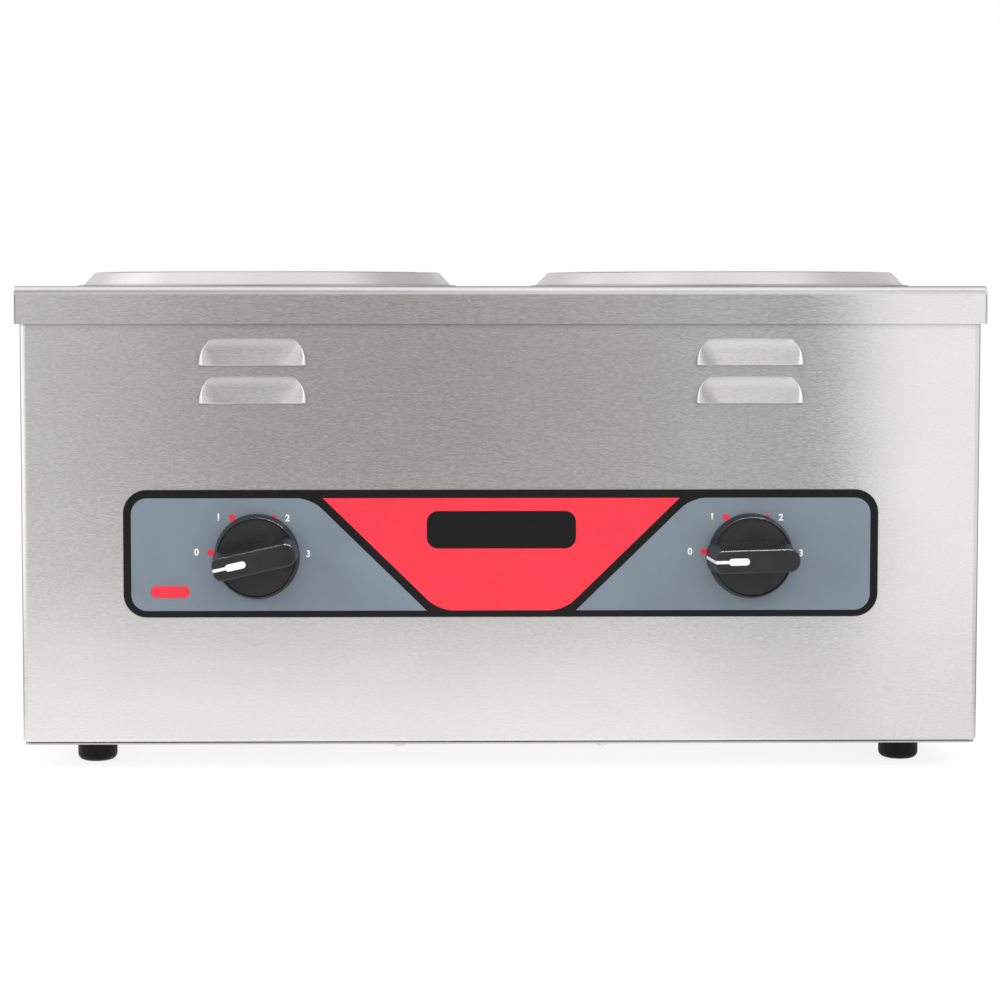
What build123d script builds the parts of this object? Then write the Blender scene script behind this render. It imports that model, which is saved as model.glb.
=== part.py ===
from build123d import *

import os
from math import asin, atan2, cos, hypot, radians, sin, tan

# Countertop food warmer with two round wells, piece by piece, in millimetres.
# +X runs to the right and -Y to the front, as seen by someone at the knobs, and +Z is up.
# The origin is on the counter, under the middle of the whole outline, knobs included.

os.makedirs("parts", exist_ok=True)

# Sheet steel and how its pieces go together
sheet = 1.0
bend_round = 2.5
flange = 16.0
flange_gap = 1.0
bend_relief = 4.0
thread_fit = 0.05
running_fit = 0.05
loose_fit = 0.3

# Cabinet: wide and deep enough for the wells in their jackets, the flanges and the regulators
side_room = 1.1
control_room = 3.1
cabinet_height = 272.1
corner_bend = 4.0
cover_reveal = 1.0

# Deck
deck_air = 1.75
deck_skirt = 22.5
deck_bend = 5.0
deck_end_round = 0.95
deck_seam = 0.35
deck_stud_length = 7.0

# Wells
well_spacing = 296.0
well_opening = 215.9
well_depth = 216.0
well_wall = 0.9
well_corner = 22.0
rim_height = 9.2
rim_roll = 2.85
rim_spread = 12.0
lip_width = 3.3
lip_round = 0.9
hole_air = 3.0

# Louvres: a slope that rises out of the panel towards an open lower edge, closed by leaning ends
louvre_spacing = 296.0
louvre_width = 64.0
louvre_reach = 6.0
louvre_knee = 12.4
louvre_knee_round = 14.0
louvre_end_round = 2.6
louvre_end_lean = 33.0
louvre_end_slant = 19.0
louvre_drop = 45.9
louvre_pitch = 22.6
louvre_rows = 2

# Control overlay
overlay_width = 450.5
overlay_height = 76.2
overlay_round = 14.0
overlay_thickness = 0.4
overlay_rise = 1.5
overlay_hole = 24.0

# Knobs: a tapered skirt, a dished face and a bar grip with a white pointer line
knob_spacing = 294.4
knob_shift = 1.6
knob_rise = 112.3
knob_air = 0.8
knob_radius = 25.4
knob_top = 31.0
skirt_foot = 1.5
skirt_height = 8.5
skirt_taper = 1.5
skirt_rim = 0.7
dish_depth = 1.0
dish_slope = 0.4
face_wall = 2.2
bar_foot_half = 9.9
bar_top_half = 6.8
bar_tail = 25.0
bar_point_foot = 26.4
bar_point_top = 24.5
bar_foot_round = 7.5
bar_top_round = 4.5
bar_tail_foot_round = 9.0
bar_tail_top_round = 6.2
bar_edge_round = 1.1
mark_depth = 0.4
mark_start = 4.7
mark_step = 17.0
mark_wide = 4.2
mark_narrow = 1.9
left_knob_turn = 12.5
right_knob_turn = 1.5

# Knob shafts
shaft_radius = 3.175
shaft_flat = 2.4
shaft_in_knob = 19.5
shaft_in_control = 12.0

# Energy regulators behind the panel
control_width = 42.0
control_height = 36.0
control_depth = 26.0
control_edge = 2.0
bush_radius = 4.8
bush_reach = 7.5
bush_clearance = 1.0
bush_nut_flats = 14.0
bush_nut_height = 3.0
blade_width = 6.3
blade_thickness = 0.8
blade_length = 9.0
blade_spacing = 12.0
blades_per_control = 3

# Heaters under the wells
heater_ring_radius = 66.0
heater_tube_radius = 4.0
heater_opening = 44.0
heater_bend = 12.0
heater_leg = 18.0
heater_pin_radius = 1.5
heater_pin_length = 6.0
clamp_hub_radius = 17.0
clamp_arm_width = 14.0
clamp_reach = 74.0
clamp_thickness = 2.0
clamp_arms = 3
stud_radius = 3.0
stud_length = 27.0
stud_nut_flats = 10.0
stud_nut_height = 5.0
shield_radius = 92.0
shield_wall = 0.8
shield_lip = 12.0
shield_corner = 5.0
leg_hole_radius = 7.0

# Insulation round the wells
jacket_thickness = 12.0
jacket_top_air = 8.0
jacket_foot_air = 24.0

# Feet
foot_radius = 12.0
foot_height = 16.0
foot_inset = 39.5
foot_round = 4.0
foot_recess_radius = 5.0
foot_recess_depth = 9.0

# Fasteners
screw_radius = 2.0
screw_head_radius = 3.5
screw_head_height = 2.4
screw_head_round = 1.4
screw_length = 8.0
foot_screw_length = 18.0
nut_flats = 7.0
nut_height = 3.2

# Places of the fasteners
cover_front_x = 61.0
cover_side_y = 62.0
cover_rear_x = 150.0
deck_stud_x = 130.0
deck_stud_y = 92.0
rear_screw_margin = 42.0
rear_screw_rows = 3

# Supply entry, terminal block and ground point
gland_inset = 96.25
gland_rise = 34.0
gland_bore = 5.5
gland_body = 9.5
gland_flange = 14.0
gland_flange_height = 2.5
gland_snap = 1.0
gland_snap_length = 4.0
gland_edge_round = 0.8
block_length = 64.0
block_width = 20.0
block_base = 5.0
block_height = 16.0
block_tower = 11.0
block_tower_pitch = 13.0
block_towers = 3
block_from_rear = 52.0
block_screw_spread = 52.0
block_screw_length = 6.4
terminal_screw_radius = 1.6
terminal_screw_depth = 7.0
terminal_screw_spread = 11.0
ground_offset = 42.0
ground_screw_length = 10.0

# Leads in woven sleeves, with a receptacle for each blade and a crimped sleeve for each heater pin
lead_radius = 1.6
lead_rise = 7.2
lead_bridge = 6.0
lead_pair_spacing = 5.4
lead_entry_depth = 6.0
lead_bend = 10.0
lead_wide_bend = 18.0
lead_first_run = 12.0
lead_second_run = 30.0
receptacle_width = 8.4
receptacle_thickness = 3.6
receptacle_length = 14.0
receptacle_air = 1.0
pin_sleeve_radius = 3.0
pin_sleeve_length = 10.0

# Cooling slots in the bottom cover
slot_length = 60.0
slot_width = 4.0
slot_pitch = 12.0
slot_rows = 5

# The cabinet's width and depth
well_radius = well_opening / 2
jacket_radius = well_radius + well_wall + loose_fit + jacket_thickness
cabinet_width = well_spacing + 2 * (jacket_radius + flange + side_room)
cabinet_depth = 2 * (jacket_radius + sheet + control_depth + control_room)

# Levels, counted up from the counter
cabinet_bottom = foot_height + sheet
cabinet_top = cabinet_bottom + cabinet_height
deck_top = cabinet_top + sheet
skirt_bottom = deck_top - deck_skirt
rim_top = deck_top + rim_height
well_floor = rim_top - well_depth
well_underside = well_floor - well_wall
heater_z = well_underside - heater_tube_radius - thread_fit
clamp_top = heater_z - heater_tube_radius - thread_fit
clamp_bottom = clamp_top - clamp_thickness
shield_top = clamp_bottom - stud_nut_height
shield_bottom = shield_top - shield_wall
knob_z = cabinet_bottom + knob_rise
overlay_z = knob_z + overlay_rise
gland_z = cabinet_bottom + gland_rise
lead_z = cabinet_bottom + lead_rise
bridge_z = lead_z + lead_bridge

# Planes and lines of the cabinet: the knobs reach as far to the front as the deck does to the back
knob_reach = overlay_thickness + knob_air + knob_top
deck_overhang = deck_air + sheet
side_x = cabinet_width / 2
front_y = (knob_reach - deck_overhang - cabinet_depth) / 2
rear_y = front_y + cabinet_depth
middle_y = (front_y + rear_y) / 2
panel_inside_y = front_y + sheet
flange_back_y = rear_y - sheet
flange_mid_x = side_x - flange / 2
flange_mid_front_y = front_y + flange / 2
flange_mid_rear_y = flange_back_y - flange / 2
deck_width = cabinet_width + 2 * deck_overhang
deck_depth = cabinet_depth + 2 * deck_overhang
knob_back_y = front_y - overlay_thickness - knob_air
gland_x = gland_inset - side_x
block_y = rear_y - block_from_rear
block_front_y = block_y - block_width / 2

# The two legs of a heater, counted from the middle of its well, and the blades of a regulator
leg_angle = radians(heater_opening / 2) - atan2(heater_bend, heater_ring_radius)
leg_radius = hypot(heater_bend, heater_ring_radius)
leg_x = leg_radius * sin(leg_angle)
leg_back = leg_radius * cos(leg_angle)
leg_y = middle_y - leg_back
leg_foot = heater_z - heater_bend - heater_leg
blade_y = panel_inside_y + control_depth / 2
blade_top = knob_z - control_height / 2

# What comes in pairs, left and right
well_xs = {"left": -well_spacing / 2, "right": well_spacing / 2}
knob_xs = {"left": knob_shift - knob_spacing / 2, "right": knob_shift + knob_spacing / 2}
knob_turns = {"left": left_knob_turn, "right": right_knob_turn}

# Fastener patterns, as (x, y) on the counter
cover_wrap_places = [(x, flange_mid_front_y) for x in (-cover_front_x, cover_front_x)]
for x in (-flange_mid_x, flange_mid_x):
    cover_wrap_places += [(x, middle_y - cover_side_y), (x, middle_y + cover_side_y)]
cover_rear_places = [(x, flange_mid_rear_y) for x in (-cover_rear_x, cover_rear_x)]
stud_wrap_places = [(x, flange_mid_front_y) for x in (-deck_stud_x, deck_stud_x)]
for x in (-flange_mid_x, flange_mid_x):
    stud_wrap_places += [(x, middle_y - deck_stud_y), (x, middle_y + deck_stud_y)]
stud_rear_places = [(x, flange_mid_rear_y) for x in (-deck_stud_x, deck_stud_x)]
rear_flange_length = cabinet_width - 2 * (flange + flange_gap)
rear_screw_low = cabinet_bottom + rear_screw_margin
rear_screw_pitch = (cabinet_height - 2 * rear_screw_margin) / (rear_screw_rows - 1)
rear_screw_places = [
    (x, rear_screw_low + row * rear_screw_pitch)
    for x in (-flange_mid_x, flange_mid_x)
    for row in range(rear_screw_rows)
]
foot_x = side_x - foot_inset
foot_places = {
    "front_left": (-foot_x, front_y + foot_inset),
    "front_right": (foot_x, front_y + foot_inset),
    "rear_left": (-foot_x, rear_y - foot_inset),
    "rear_right": (foot_x, rear_y - foot_inset),
}


def save(piece, name):
    """Label a finished piece and write it as its own STEP file."""
    piece.label = name
    export_step(piece, f"parts/{name}.step")


def front_plane(y, x=0.0, z=0.0, turn=0.0):
    """An upright plane that faces the front, with local X to the right, turned anticlockwise in degrees."""
    right = (cos(radians(turn)), 0, sin(radians(turn)))
    return Plane(origin=(x, y, z), x_dir=right, z_dir=(0, -1, 0))


def rear_plane(y, x=0.0, z=0.0):
    """An upright plane that faces the back, with local X to the left and local Y up."""
    return Plane(origin=(x, y, z), x_dir=(-1, 0, 0), z_dir=(0, 1, 0))


def under_plane(z, x=0.0, y=0.0):
    """A level plane that faces the counter, with local X to the right and local Y to the front."""
    return Plane(origin=(x, y, z), x_dir=(1, 0, 0), z_dir=(0, 0, -1))


def seen_from_below(places):
    """The same places as they read on a plane that faces the counter."""
    return [(x, -y) for x, y in places]


def well_axis(x):
    """The vertical centre line of a well."""
    return Axis((x, middle_y, 0), (0, 0, 1))


def middle_plane(z, x=0.0):
    """A level plane whose origin is in the middle of the cabinet's depth."""
    return Plane(origin=(x, middle_y, z))


def drill(plane, places, radius, depth):
    """Round holes from a plane inwards, cut in the piece that is being made."""
    with BuildSketch(plane) as holes:
        with Locations(*places):
            Circle(radius)
    extrude(holes.sketch, amount=-depth, mode=Mode.SUBTRACT)


def round_folds(piece):
    """Round the folds at the top and the bottom of a cabinet sheet, inside and outside."""
    skin = piece.faces().filter_by(Axis.Y).sort_by(SortBy.AREA)
    for wall, radius in ((skin[-2], bend_round - sheet), (skin[-1], bend_round)):
        folds = wall.edges().filter_by(Axis.X).group_by(Axis.Z)
        fillet([folds[0].sort_by(SortBy.LENGTH)[-1], folds[-1].sort_by(SortBy.LENGTH)[-1]], radius=radius)


def pan_screws(plane, places, length):
    """Pan-head screws: their heads stand on the plane, and their shanks go back through it."""
    with BuildPart() as screws:
        with BuildSketch(plane):
            with Locations(*places):
                Circle(screw_head_radius)
        extrude(amount=screw_head_height)
        rims = screws.edges().filter_by(GeomType.CIRCLE).group_by(Axis(plane.origin, plane.z_dir))
        fillet(rims[-1], radius=screw_head_round)
        with BuildSketch(plane):
            with Locations(*places):
                Circle(screw_radius)
        extrude(amount=-length)
    return screws.part


def hex_nuts(plane, places, flats, height, bore_radius):
    """Hexagon nuts that stand on the plane."""
    with BuildPart() as nuts:
        with BuildSketch(plane):
            with Locations(*places):
                RegularPolygon(radius=flats / 2, side_count=6, major_radius=False)
                Circle(bore_radius, mode=Mode.SUBTRACT)
        extrude(amount=height)
    return nuts.part


# Louvre: the slope of its face, and how its two ends lean
louvre_slope = atan2(louvre_reach, louvre_knee)
louvre_lean = tan(radians(louvre_end_lean))
louvre_slant = tan(radians(louvre_end_slant))
louvre_stretch = hypot(1, louvre_lean, louvre_slant)
louvre_places = [
    (x, front_y, cabinet_top - louvre_drop - row * louvre_pitch)
    for x in (-louvre_spacing / 2, louvre_spacing / 2)
    for row in range(louvre_rows)
]


def louvre_form(inset, back):
    """The bulge of one louvre, made smaller by inset and cut off at this depth behind the panel's front."""
    reach = louvre_reach - inset / cos(louvre_slope)
    knee = (reach + inset) / tan(louvre_slope)
    root = louvre_end_round * louvre_reach
    with BuildPart() as form:
        with BuildSketch(Plane.YZ.offset(-louvre_width)):
            with BuildLine():
                FilletPolyline(
                    (root, 0),
                    (-reach, 0),
                    (inset, knee),
                    (inset, louvre_pitch),
                    (root, louvre_pitch),
                    radius=[0, 0, louvre_knee_round + inset, 0, 0],
                    close=True,
                )
            make_face()
        extrude(amount=2 * louvre_width)
        for way in (-1, 1):
            end_x = way * (louvre_width / 2 - inset * louvre_stretch)
            end = Plane(origin=(end_x, 0, 0), z_dir=(way, -louvre_lean, louvre_slant))
            split(bisect_by=end, keep=Keep.BOTTOM)
        for end in (form.faces().sort_by(Axis.X)[0], form.faces().sort_by(Axis.X)[-1]):
            fillet(end.edges().sort_by(Axis.Y)[0:3], radius=louvre_end_round - inset / 2)
        split(bisect_by=Plane.XZ.offset(-back), keep=Keep.TOP)
    return form.part


louvre_bulge = louvre_form(0, sheet / 2)
louvre_hollow = louvre_form(sheet, sheet + loose_fit)


# Cabinet front and ends: one sheet folded at the front corners, with flanges at every edge
with BuildPart() as body_wrap:
    with BuildSketch(Plane.XY.offset(cabinet_bottom)):
        with BuildLine() as outer_line:
            FilletPolyline(
                (-side_x + flange, flange_back_y),
                (-side_x, flange_back_y),
                (-side_x, front_y),
                (side_x, front_y),
                (side_x, flange_back_y),
                (side_x - flange, flange_back_y),
                radius=corner_bend,
            )
            offset(amount=sheet, side=Side.LEFT)
        make_face()
    extrude(amount=cabinet_height)
    for level in (cabinet_bottom, cabinet_top - sheet):
        with BuildSketch(Plane.XY.offset(level)):
            with Locations((0, (front_y + flange_back_y) / 2)):
                RectangleRounded(cabinet_width, flange_back_y - front_y, corner_bend)
            with Locations((0, front_y + flange)):
                Rectangle(
                    cabinet_width - 2 * flange,
                    cabinet_depth,
                    align=(Align.CENTER, Align.MIN),
                    mode=Mode.SUBTRACT,
                )
        extrude(amount=sheet)
    round_folds(body_wrap)
    with Locations(*louvre_places):
        add(louvre_bulge)
        add(louvre_hollow, mode=Mode.SUBTRACT)
    for x in knob_xs.values():
        drill(front_plane(front_y, x, knob_z), [(0, 0)], bush_radius + loose_fit, sheet)
    drill(under_plane(cabinet_bottom), seen_from_below(cover_wrap_places), screw_radius + thread_fit, sheet)
    drill(Plane.XY.offset(cabinet_top), stud_wrap_places, screw_radius + loose_fit, sheet)
    drill(rear_plane(flange_back_y), rear_screw_places, screw_radius + thread_fit, sheet)
save(body_wrap.part, "body_wrap")

# Rear panel: lies on the rear flanges, with a flange of its own at the top and the bottom
with BuildPart() as rear_panel:
    with BuildSketch(rear_plane(flange_back_y, z=(cabinet_bottom + cabinet_top) / 2)):
        Rectangle(cabinet_width - 2 * corner_bend, cabinet_height - 2 * bend_relief)
        Rectangle(rear_flange_length, cabinet_height)
    extrude(amount=sheet)
    for level in (cabinet_bottom, cabinet_top - sheet):
        with BuildSketch(Plane.XY.offset(level)):
            with Locations((0, flange_back_y)):
                Rectangle(rear_flange_length, flange, align=(Align.CENTER, Align.MAX))
        extrude(amount=sheet)
    round_folds(rear_panel)
    drill(under_plane(cabinet_bottom), seen_from_below(cover_rear_places), screw_radius + thread_fit, sheet)
    drill(Plane.XY.offset(cabinet_top), stud_rear_places, screw_radius + loose_fit, sheet)
    drill(rear_plane(rear_y), rear_screw_places, screw_radius + loose_fit, sheet)
    drill(rear_plane(rear_y, gland_x, gland_z), [(0, 0)], gland_body + thread_fit, sheet)
    drill(rear_plane(rear_y, gland_x + ground_offset, gland_z), [(0, 0)], screw_radius + loose_fit, sheet)
save(rear_panel.part, "rear_panel")
save(pan_screws(rear_plane(rear_y), rear_screw_places, screw_length), "rear_panel_screws")


def deck_block(inset):
    """The deck's outside, or its inside at one sheet's inset, with the front and rear folds rounded."""
    with BuildPart() as block:
        with BuildSketch(middle_plane(skirt_bottom)):
            Rectangle(deck_width - 2 * inset, deck_depth - 2 * inset)
        extrude(amount=deck_skirt - inset)
        folds = block.faces().sort_by(Axis.Z)[-1].edges().filter_by(Axis.X)
        fillet(folds, radius=deck_bend - inset)
    return block.part


# Deck: a folded pan over the cabinet, with its front and rear skirts butted between the end skirts,
# whose edges are ground round from foot to foot
with BuildPart() as top_deck:
    add(deck_block(0))
    for end in (top_deck.faces().sort_by(Axis.X)[0], top_deck.faces().sort_by(Axis.X)[-1]):
        fillet(end.edges().sort_by(Axis.Z)[1:], radius=deck_end_round)
    add(deck_block(sheet), mode=Mode.SUBTRACT)
    for x in well_xs.values():
        drill(middle_plane(deck_top, x), [(0, 0)], well_radius + well_wall + hole_air, sheet)
    with BuildSketch(middle_plane(skirt_bottom)):
        with GridLocations(deck_width - 2 * sheet - deck_seam, deck_depth - sheet, 2, 2):
            Rectangle(deck_seam, sheet)
    extrude(amount=deck_skirt - deck_bend, mode=Mode.SUBTRACT)
    with BuildSketch(under_plane(cabinet_top)):
        with Locations(*seen_from_below(stud_wrap_places + stud_rear_places)):
            Circle(screw_radius)
    extrude(amount=deck_stud_length)
save(top_deck.part, "top_deck")
deck_nuts = hex_nuts(
    under_plane(cabinet_top - sheet),
    seen_from_below(stud_wrap_places + stud_rear_places),
    nut_flats,
    nut_height,
    screw_radius + thread_fit,
)
save(deck_nuts, "deck_nuts")

# Bottom cover: a flat plate under the flanges, with cooling slots below each well
with BuildPart() as bottom_cover:
    with BuildSketch(middle_plane(foot_height)):
        RectangleRounded(cabinet_width - 2 * cover_reveal, cabinet_depth - 2 * cover_reveal, corner_bend)
        for x in well_xs.values():
            with Locations((x, 0)):
                with GridLocations(0, slot_pitch, 1, slot_rows):
                    SlotOverall(slot_length, slot_width, mode=Mode.SUBTRACT)
    extrude(amount=sheet)
    drill(
        Plane.XY.offset(cabinet_bottom),
        cover_wrap_places + cover_rear_places + list(foot_places.values()),
        screw_radius + loose_fit,
        sheet,
    )
    drill(
        Plane.XY.offset(cabinet_bottom),
        [(gland_x - block_screw_spread / 2, block_y), (gland_x + block_screw_spread / 2, block_y)],
        screw_radius + thread_fit,
        sheet,
    )
save(bottom_cover.part, "bottom_cover")
cover_screws = pan_screws(
    under_plane(foot_height),
    seen_from_below(cover_wrap_places + cover_rear_places),
    screw_length,
)
save(cover_screws, "bottom_cover_screws")

# Rim of a well: a flat lip, a straight slope that ends tangent to a roll, then the well's wall
slope_run = rim_spread - rim_roll
slope_rise = rim_height - rim_roll - well_wall
rim_slope = atan2(slope_rise, slope_run) + asin(rim_roll / hypot(slope_run, slope_rise))
rim_apex = deck_top + well_wall + rim_spread * tan(rim_slope)


def drawn_well(x):
    """A drawn well with its rolled rim on the deck and a stud welded under its floor."""
    with BuildPart() as well:
        with BuildSketch(front_plane(middle_y, x)):
            with BuildLine():
                FilletPolyline(
                    (well_radius + rim_spread + lip_width, deck_top + well_wall),
                    (well_radius + rim_spread, deck_top + well_wall),
                    (well_radius, rim_apex),
                    (well_radius, well_floor),
                    (0, well_floor),
                    radius=[lip_round, rim_roll, well_corner],
                )
                offset(amount=well_wall, side=Side.LEFT)
            make_face()
        revolve(axis=well_axis(x))
        with BuildSketch(under_plane(well_underside, x, middle_y)):
            Circle(stud_radius)
        extrude(amount=stud_length)
    return well.part


def insulation_jacket(x):
    """A fibre blanket wrapped round the straight wall of a well."""
    foot = well_floor + jacket_foot_air
    with BuildPart() as jacket:
        with BuildSketch(middle_plane(foot, x)):
            Circle(jacket_radius)
            Circle(jacket_radius - jacket_thickness, mode=Mode.SUBTRACT)
        extrude(amount=cabinet_top - jacket_top_air - foot)
    return jacket.part


def ring_heater(x):
    """A tubular heater: an open ring whose two ends bend down through the heat shield, each with a pin."""
    with BuildLine() as route:
        half_gap = heater_opening / 2
        ring = CenterArc((x, middle_y, heater_z), heater_ring_radius, half_gap - 90, 360 - heater_opening)
        for end, heading in ((ring @ 0, -(ring % 0)), (ring @ 1, ring % 1)):
            elbow = end + heading * heater_bend - Vector(0, 0, heater_bend)
            TangentArc(end, elbow, tangent=heading)
            Line(elbow, elbow - Vector(0, 0, heater_leg))
    path = route.wire()
    with BuildPart() as heater:
        with BuildSketch(Plane(origin=path @ 0, z_dir=path % 0)):
            Circle(heater_tube_radius)
        sweep(path=path)
        with BuildSketch(under_plane(leg_foot, x, leg_y)):
            with Locations((-leg_x, 0), (leg_x, 0)):
                Circle(heater_pin_radius)
        extrude(amount=heater_pin_length)
    return heater.part


def heater_clamp(x):
    """A three-armed plate that presses the ring against the well's floor."""
    with BuildPart() as clamp:
        with BuildSketch(under_plane(clamp_top, x, middle_y)):
            Circle(clamp_hub_radius)
            with PolarLocations(0, clamp_arms, start_angle=-90):
                SlotCenterPoint(
                    (clamp_reach / 2, 0),
                    (clamp_reach - clamp_arm_width / 2, 0),
                    clamp_arm_width,
                )
            Circle(stud_radius + loose_fit, mode=Mode.SUBTRACT)
        extrude(amount=clamp_thickness)
    return clamp.part


def heat_shield(x):
    """A dished plate under the heater, with holes for the stud and for the heater's two legs."""
    with BuildPart() as shield:
        with BuildSketch(front_plane(middle_y, x)):
            with BuildLine():
                FilletPolyline(
                    (0, shield_top),
                    (shield_radius, shield_top),
                    (shield_radius, shield_top + shield_lip),
                    radius=shield_corner,
                )
                offset(amount=shield_wall, side=Side.RIGHT)
            make_face()
        revolve(axis=well_axis(x))
        drill(middle_plane(shield_top, x), [(0, 0)], stud_radius + loose_fit, shield_wall)
        drill(
            middle_plane(shield_top, x),
            [(-leg_x, -leg_back), (leg_x, -leg_back)],
            leg_hole_radius,
            shield_wall,
        )
    return shield.part


def stud_nuts(x):
    """Two nuts on a well's stud: one holds the clamp, the other the heat shield."""
    with BuildPart() as nuts:
        for level in (clamp_bottom, shield_bottom):
            add(
                hex_nuts(
                    under_plane(level, x, middle_y),
                    [(0, 0)],
                    stud_nut_flats,
                    stud_nut_height,
                    stud_radius + thread_fit,
                )
            )
    return nuts.part


for side, x in well_xs.items():
    save(drawn_well(x), f"{side}_well")
    save(insulation_jacket(x), f"{side}_insulation_jacket")
    save(ring_heater(x), f"{side}_heater")
    save(heater_clamp(x), f"{side}_heater_clamp")
    save(heat_shield(x), f"{side}_heat_shield")
    save(stud_nuts(x), f"{side}_stud_nuts")

# Control overlay: a printed plate on the panel, open round the bushes
with BuildPart() as control_overlay:
    with BuildSketch(front_plane(front_y)):
        with Locations((0, overlay_z)):
            RectangleRounded(overlay_width, overlay_height, overlay_round)
        with Locations(*[(x, knob_z) for x in knob_xs.values()]):
            Circle(overlay_hole / 2, mode=Mode.SUBTRACT)
    extrude(amount=overlay_thickness)
save(control_overlay.part, "control_overlay")


def regulator(x):
    """An energy regulator: a moulded case behind the panel, and a bush out through it."""
    with BuildPart() as control:
        with BuildSketch(front_plane(panel_inside_y, x, knob_z)):
            Rectangle(control_width, control_height)
        extrude(amount=-control_depth)
        fillet(control.edges().filter_by(Axis.Y), radius=control_edge)
        fillet(control.faces().sort_by(Axis.Y)[-1].edges(), radius=control_edge / 2)
        with BuildSketch(front_plane(panel_inside_y, x, knob_z)):
            Circle(bush_radius)
        extrude(amount=sheet + bush_reach)
        bore_depth = bush_reach + sheet + shaft_in_control
        drill(front_plane(front_y - bush_reach, x, knob_z), [(0, 0)], shaft_radius + running_fit, bore_depth)
    return control.part


def regulator_blades(x):
    """The blade terminals on the underside of a regulator."""
    with BuildPart() as blades:
        with BuildSketch(under_plane(blade_top, x, blade_y)):
            with GridLocations(blade_spacing, 0, blades_per_control, 1):
                Rectangle(blade_width, blade_thickness)
        extrude(amount=blade_length)
        fillet(blades.edges().filter_by(Axis.Y).group_by(Axis.Z)[0], radius=blade_thickness)
    return blades.part


# How deep the knob is hollow: past the bush that stands out of the panel
bush_tip = bush_reach - overlay_thickness - knob_air
knob_well_depth = bush_tip + bush_clearance
shaft_tip = knob_well_depth + shaft_in_knob
dish_level = skirt_height - dish_depth


def d_section(clearance):
    """The section of a shaft with one flat, or of the hole that takes it."""
    Circle(shaft_radius + clearance)
    with Locations((0, shaft_flat + clearance)):
        Rectangle(4 * shaft_radius, 2 * shaft_radius, align=(Align.CENTER, Align.MIN), mode=Mode.SUBTRACT)


def bar_outline(point, tail, half_width, point_round, tail_round):
    """The outline of the knob's bar at one level, from its point on the left to its tail."""
    with BuildSketch(mode=Mode.PRIVATE) as outline:
        with Locations(((tail - point) / 2, 0)):
            Rectangle(point + tail, 2 * half_width)
        fillet(outline.vertices().group_by(Axis.X)[0], radius=point_round)
        fillet(outline.vertices().group_by(Axis.X)[-1], radius=tail_round)
    return outline.sketch


def knob_body(face):
    """A knob whose back lies on this plane, with its pointer towards local -X."""
    through = Plane(origin=face.origin, x_dir=face.x_dir, z_dir=-face.y_dir)
    rim_radius = knob_radius - skirt_taper
    with BuildPart() as knob:
        with BuildSketch(through):
            with BuildLine():
                FilletPolyline(
                    (0, 0),
                    (knob_radius, 0),
                    (knob_radius, skirt_foot),
                    (rim_radius, skirt_height),
                    (rim_radius - skirt_rim, skirt_height),
                    (rim_radius - skirt_rim - dish_slope, dish_level),
                    (0, dish_level),
                    radius=[0, 0.3, 0.6, 0.4, 0.2, 0, 0],
                    close=True,
                )
            make_face()
        revolve(axis=Axis(face.origin, face.z_dir))
        with BuildSketch(face.offset(skirt_foot)):
            add(bar_outline(bar_point_foot, bar_tail, bar_foot_half, bar_foot_round, bar_tail_foot_round))
        with BuildSketch(face.offset(knob_top)):
            add(bar_outline(bar_point_top, bar_tail, bar_top_half, bar_top_round, bar_tail_top_round))
        loft()
        top_edges = knob.faces().sort_by(Axis(face.origin, face.z_dir))[-1].edges()
        fillet(top_edges, radius=bar_edge_round)
        with BuildSketch(face):
            Circle(rim_radius - face_wall)
        extrude(amount=dish_level - face_wall, mode=Mode.SUBTRACT)
        with BuildSketch(face):
            Circle(bush_radius + bush_clearance)
        extrude(amount=knob_well_depth, mode=Mode.SUBTRACT)
        with BuildSketch(face.offset(knob_well_depth)):
            d_section(running_fit)
        extrude(amount=shaft_in_knob + bush_clearance, mode=Mode.SUBTRACT)
    return knob.part


def mark_tool(face):
    """What the pointer line takes out of the knob: a wide stroke on top, then a narrow one down the end."""
    through = Plane(origin=face.origin, x_dir=face.x_dir, z_dir=-face.y_dir)
    floor = knob_top - mark_depth
    with BuildPart() as tool:
        with BuildSketch(face.offset(floor)):
            with Locations((-(mark_start + mark_step) / 2, 0)):
                SlotOverall(mark_step - mark_start, mark_wide)
        extrude(amount=2 * mark_depth)
        with BuildSketch(through):
            with BuildLine():
                Polyline(
                    (-mark_step + mark_wide / 2, floor),
                    (mark_depth - bar_point_top, floor),
                    (mark_depth - bar_point_foot, skirt_foot),
                    (-bar_point_foot - mark_depth, skirt_foot),
                    (-bar_point_foot - mark_depth, knob_top + mark_depth),
                    (-mark_step + mark_wide / 2, knob_top + mark_depth),
                    close=True,
                )
            make_face()
        extrude(amount=mark_narrow / 2, both=True)
    return tool.part


def knob_shaft(face):
    """The shaft from inside the regulator to inside the knob, flat where the knob holds it."""
    flat_start = knob_well_depth - bush_clearance / 2
    shaft_start = shaft_in_control + sheet + overlay_thickness + knob_air - loose_fit
    with BuildPart() as shaft:
        with BuildSketch(face.offset(-shaft_start)):
            Circle(shaft_radius)
        extrude(amount=shaft_start + flat_start)
        with BuildSketch(face.offset(flat_start)):
            d_section(0)
        extrude(amount=shaft_tip - flat_start)
    return shaft.part


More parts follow.
